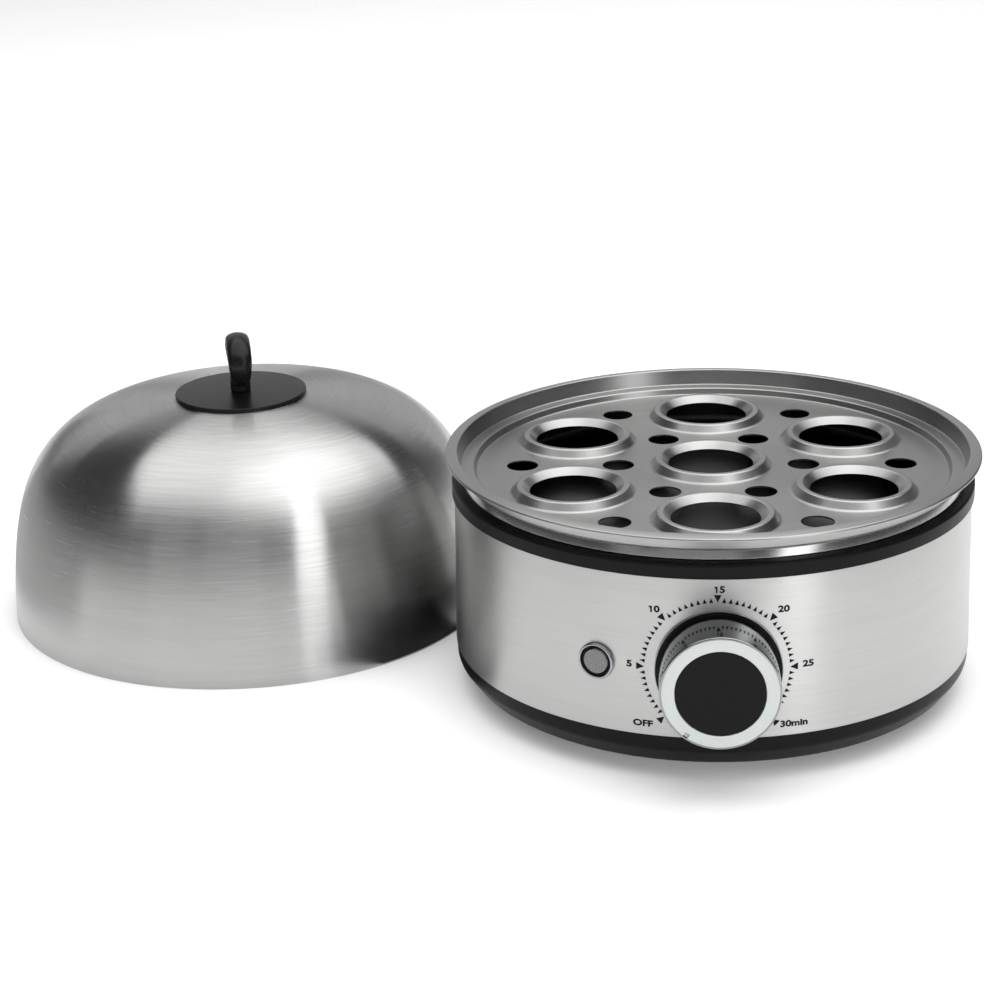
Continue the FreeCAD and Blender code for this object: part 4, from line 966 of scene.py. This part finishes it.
def lens_finish():
    """Grey lens with a moulded lattice behind its face."""
    finish = Finish("grey_lens_lattice", specular_ior_level=0.6, coat_weight=0.3)
    place = finish.node("ShaderNodeMapping", {"vector_type": "TEXTURE"}, {
        "Vector": finish.place, "Rotation": (0, 0, lamp_turn),
    })
    x, _, z = finish.parts(place)
    lattice = finish.crossed(x, z, pitch=0.0010)
    colour = finish.mix(lattice, grey(0.005), grey(0.16))
    finish.bump(lattice, distance=0.0001, strength=0.5)
    cloud = finish.noise(finish.place, scale=400.0)
    return finish.set(base_color=colour, roughness=finish.spread(cloud, 0.18, 0.34))


def glass_finish():
    """Clear, slightly uneven glass."""
    finish = Finish("clear_glass", ior=1.45, transmission_weight=0.9)
    cloud = finish.noise(finish.place, scale=500.0)
    colour = finish.mix(cloud, (0.85, 0.8, 0.75, 1), (0.95, 0.92, 0.9, 1))
    finish.bump(cloud, distance=0.00002, strength=0.2)
    return finish.set(base_color=colour, roughness=finish.spread(cloud, 0.03, 0.1))


def woven(name, tint):
    """A braided sleeve: fine crossed threads."""
    finish = Finish(name, sheen_weight=0.3)
    x, y, z = finish.parts(finish.place)
    weave = finish.crossed(x + y, z, pitch=0.0008)
    colour = finish.mix(weave, tinted(tint, 0.6), tinted(tint))
    finish.bump(weave, distance=0.00008, strength=0.4)
    return finish.set(base_color=colour, roughness=finish.spread(weave, 0.7, 0.85))


finishes = {
    "black_plastic": moulded("black_plastic", (0.0025, 0.0025, 0.0028), 0.36, gloss=0.12),
    "rubber": moulded("rubber", (0.02, 0.02, 0.02), 0.75, grain=700.0, deep=0.00006, strength=0.5),
    "brushed_steel": ring_brushed("brushed_steel"),
    "zinc_steel": plain_metal("zinc_steel", (0.60, 0.61, 0.62), 0.38),
    "chrome": plain_metal("chrome", (0.32, 0.33, 0.33), 0.10, grain=1500.0, spread=0.02),
    "lamp_chrome": plain_metal("lamp_chrome", (0.34, 0.35, 0.36), 0.12, grain=1500.0, spread=0.02),
    "aluminium": plain_metal("aluminium", (0.55, 0.575, 0.57), 0.38),
    "grey_lens": lens_finish(),
    "clear_glass": glass_finish(),
    "brass": plain_metal("brass", (0.72, 0.55, 0.25), 0.3),
    "moulded_plastic": moulded("moulded_plastic", (0.66, 0.63, 0.56), 0.5),
    "fuse_white": woven("fuse_white", (0.80, 0.79, 0.75)),
    "wire_sleeve": moulded("wire_sleeve", (0.62, 0.60, 0.55), 0.45),
}


def dress(piece, material):
    """Gives a piece one material and no other."""
    piece.data.materials.clear()
    piece.data.materials.append(material)


slots = {row["node"]: row["material_slot"] for row in frame["record"]["subparts"]}
for name, node in nodes.items():
    dress(node, finishes[slots[name]])
lid_steel = ring_brushed(
    "lid_steel", (lid_x, lid_y), tone=0.49, rough=0.26, drawn_out=1.0, scratch=0.5, grain=0.1,
)
tray_steel = ring_brushed("tray_steel", tone=0.38, rough=0.33, drawn_out=0.5, scratch=0.1)
# Painted shade: the bowl's inside, under the tray, keeps only a tenth of its tone inside 76 mm radius.
bowl_steel = ring_brushed(
    "bowl_steel", tone=0.55, rough=0.22, drawn_out=0.6, painted_shade_inside=(0.10, 76.0, 76.8),
)
handle_plastic = moulded(
    "handle_plastic", (0.005, 0.005, 0.0055), 0.28, grain=1200.0, deep=0.00002, strength=0.12, gloss=0.2,
)
for piece, material in (
    (dome, lid_steel), (nodes["lid_dome"], lid_steel), (tray, tray_steel), (nodes["egg_tray"], tray_steel),
    (bowl, bowl_steel), (nodes["heating_bowl"], bowl_steel), (skirt, finishes["brushed_steel"]),
    (disc, handle_plastic), (handle, handle_plastic),
):
    dress(piece, material)
for name, slot in (
    ("rim", "black_plastic"), ("tub", "black_plastic"), ("bezel_plate", "black_plastic"),
    ("bezel_band", "chrome"), ("knob", "chrome"), ("knob_face", "aluminium"), ("knob_cover", "black_plastic"),
    ("lamp_flange", "lamp_chrome"), ("lens", "grey_lens"), ("lamp_liner", "black_plastic"),
    ("inlet_bush", "black_plastic"), ("dial_print", "black_plastic"), ("pad_foot_right", "rubber"),
    ("pad_foot_back", "rubber"), ("pad_foot_left", "rubber"), ("pad_foot_front", "rubber"),
):
    dress(bpy.data.objects[name], finishes[slot])


# Floor, lights and surroundings
def painted(name, dark, light, rough, **uniform):
    """Flat paint with a faint cloud. rough holds its least and its greatest roughness."""
    paint = Finish(name, **uniform)
    cloud = paint.noise(paint.place, 3.0)
    colour = paint.mix(cloud, grey(dark), grey(light))
    return paint.set(base_color=colour, roughness=paint.spread(cloud, *rough))


def make_floor():
    """The plain pale ground."""
    bpy.ops.object.select_all(action="DESELECT")
    bpy.ops.mesh.primitive_plane_add(size=16, location=(0, 0, 0))
    floor = bpy.context.object
    floor.name = "floor"
    dress(floor, painted("floor_paint", 0.90, 0.93, (0.75, 0.85)))


def soft_light(name, place, aim, width, height, glow, swing=0, glossy=True):
    """A soft light at a place, facing its aim, with an even glow over its face. Sizes are in metres."""
    data = bpy.data.lights.new(name, "AREA")
    data.shape = "RECTANGLE"
    data.size, data.size_y = width, height
    data.energy = glow * math.pi * width * height
    light = bpy.data.objects.new(name, data)
    light.visible_camera = False
    light.visible_glossy = glossy
    bpy.context.scene.collection.objects.link(light)
    light.location = place
    facing = (Vector(place) - Vector(aim)).to_track_quat("Z", "Y")
    light.rotation_euler = (facing @ Quaternion((0, 0, 1), math.radians(swing))).to_euler()


def studio_card(name, tone, place, width, height, tip=0, pan=0):
    """A grey card that shows only in reflections. Standing, it is a flag as a studio hangs beside polished
    metal; laid on the ground, it is painted shade, a sheet standing for the floor's shadow as the metal
    reflects it.
    """
    bpy.ops.object.select_all(action="DESELECT")
    bpy.ops.mesh.primitive_plane_add(size=1, location=(0, 0, 0))
    card = bpy.context.object
    card.name = name
    card.scale = (width, height, 1)
    settle(card)
    card.rotation_euler = (math.radians(tip), 0, math.radians(pan))
    card.location = place
    settle(card)
    card.visible_camera = card.visible_shadow = card.visible_diffuse = False
    dress(card, painted(name + "_paint", tone * 0.95, tone, (0.8, 0.9), specular_ior_level=0.1))


def make_lights():
    """The studio's soft lights round the part, and a dim world."""
    bpy.context.scene.view_settings.view_transform = "Standard"
    world = bpy.data.worlds.new("studio")
    bpy.context.scene.world = world
    world.use_nodes = True
    background = world.node_tree.nodes["Background"]
    background.inputs["Color"].default_value = (1, 1, 1, 1)
    background.inputs["Strength"].default_value = 0.06
    middle = (-0.06, 0.03, 0.04)
    soft_light("overhead", (0.146, 0.265, 1.675), (0.146, 0.265, 0), 2.89, 2.64, glow=1.7, swing=-17)
    soft_light("overhead_bright", (0.42, 0.1, 1.665), (0.42, 0.1, 0), 1.15, 1.5, glow=0.8, swing=-17)
    soft_light("strip", (0.866, -1.155, 0.587), middle, 0.4, 1.5, glow=2.1, swing=-12)
    soft_light("floor_wash", (0, 0.6, 3.0), (0, 0.6, 0), 8.0, 7.0, glow=0.5, glossy=False)
    soft_light("front", (-0.64, -2.15, 0.86), middle, 2.4, 1.1, glow=0.25)
    soft_light("back", (-0.06, 2.47, 0.93), middle, 2.8, 1.6, glow=0.5)
    soft_light("back_left", (-1.64, 1.96, 0.95), middle, 1.0, 0.9, glow=0.4)
    soft_light("foot_light", (0, -1.6, 0.35), (0, -0.08, 0), 2.6, 0.6, glow=8.0, glossy=False)


def make_cards():
    """Cards beside and before the lid, and two laid on the ground, beside the lid and between lid and base,
    which are painted shade of the floor in reflections.
    """
    just_above = 0.0005
    studio_card("card_left", 0.40, (-0.40, 0.12, 0.035), 0.34, 0.07, tip=90, pan=90)
    # Painted shade: a grey sheet on the ground beside the lid, standing for the floor's shadow that the dome
    # reflects.
    studio_card("floor_shade_left", 0.45, (-0.331, 0.12, just_above), 0.136, 0.28)
    studio_card("card_front", 0.02, (-0.431, -0.793, 0.86), 0.15, 0.95, tip=90, pan=-17)
    # Painted shade: a dark sheet on the ground between lid and base, standing for the shadowed floor in the
    # gap.
    studio_card("floor_shade_between", 0.05, (-0.092, 0.0, just_above), 0.03, 0.07, pan=-22)


make_floor()
make_lights()
make_cards()
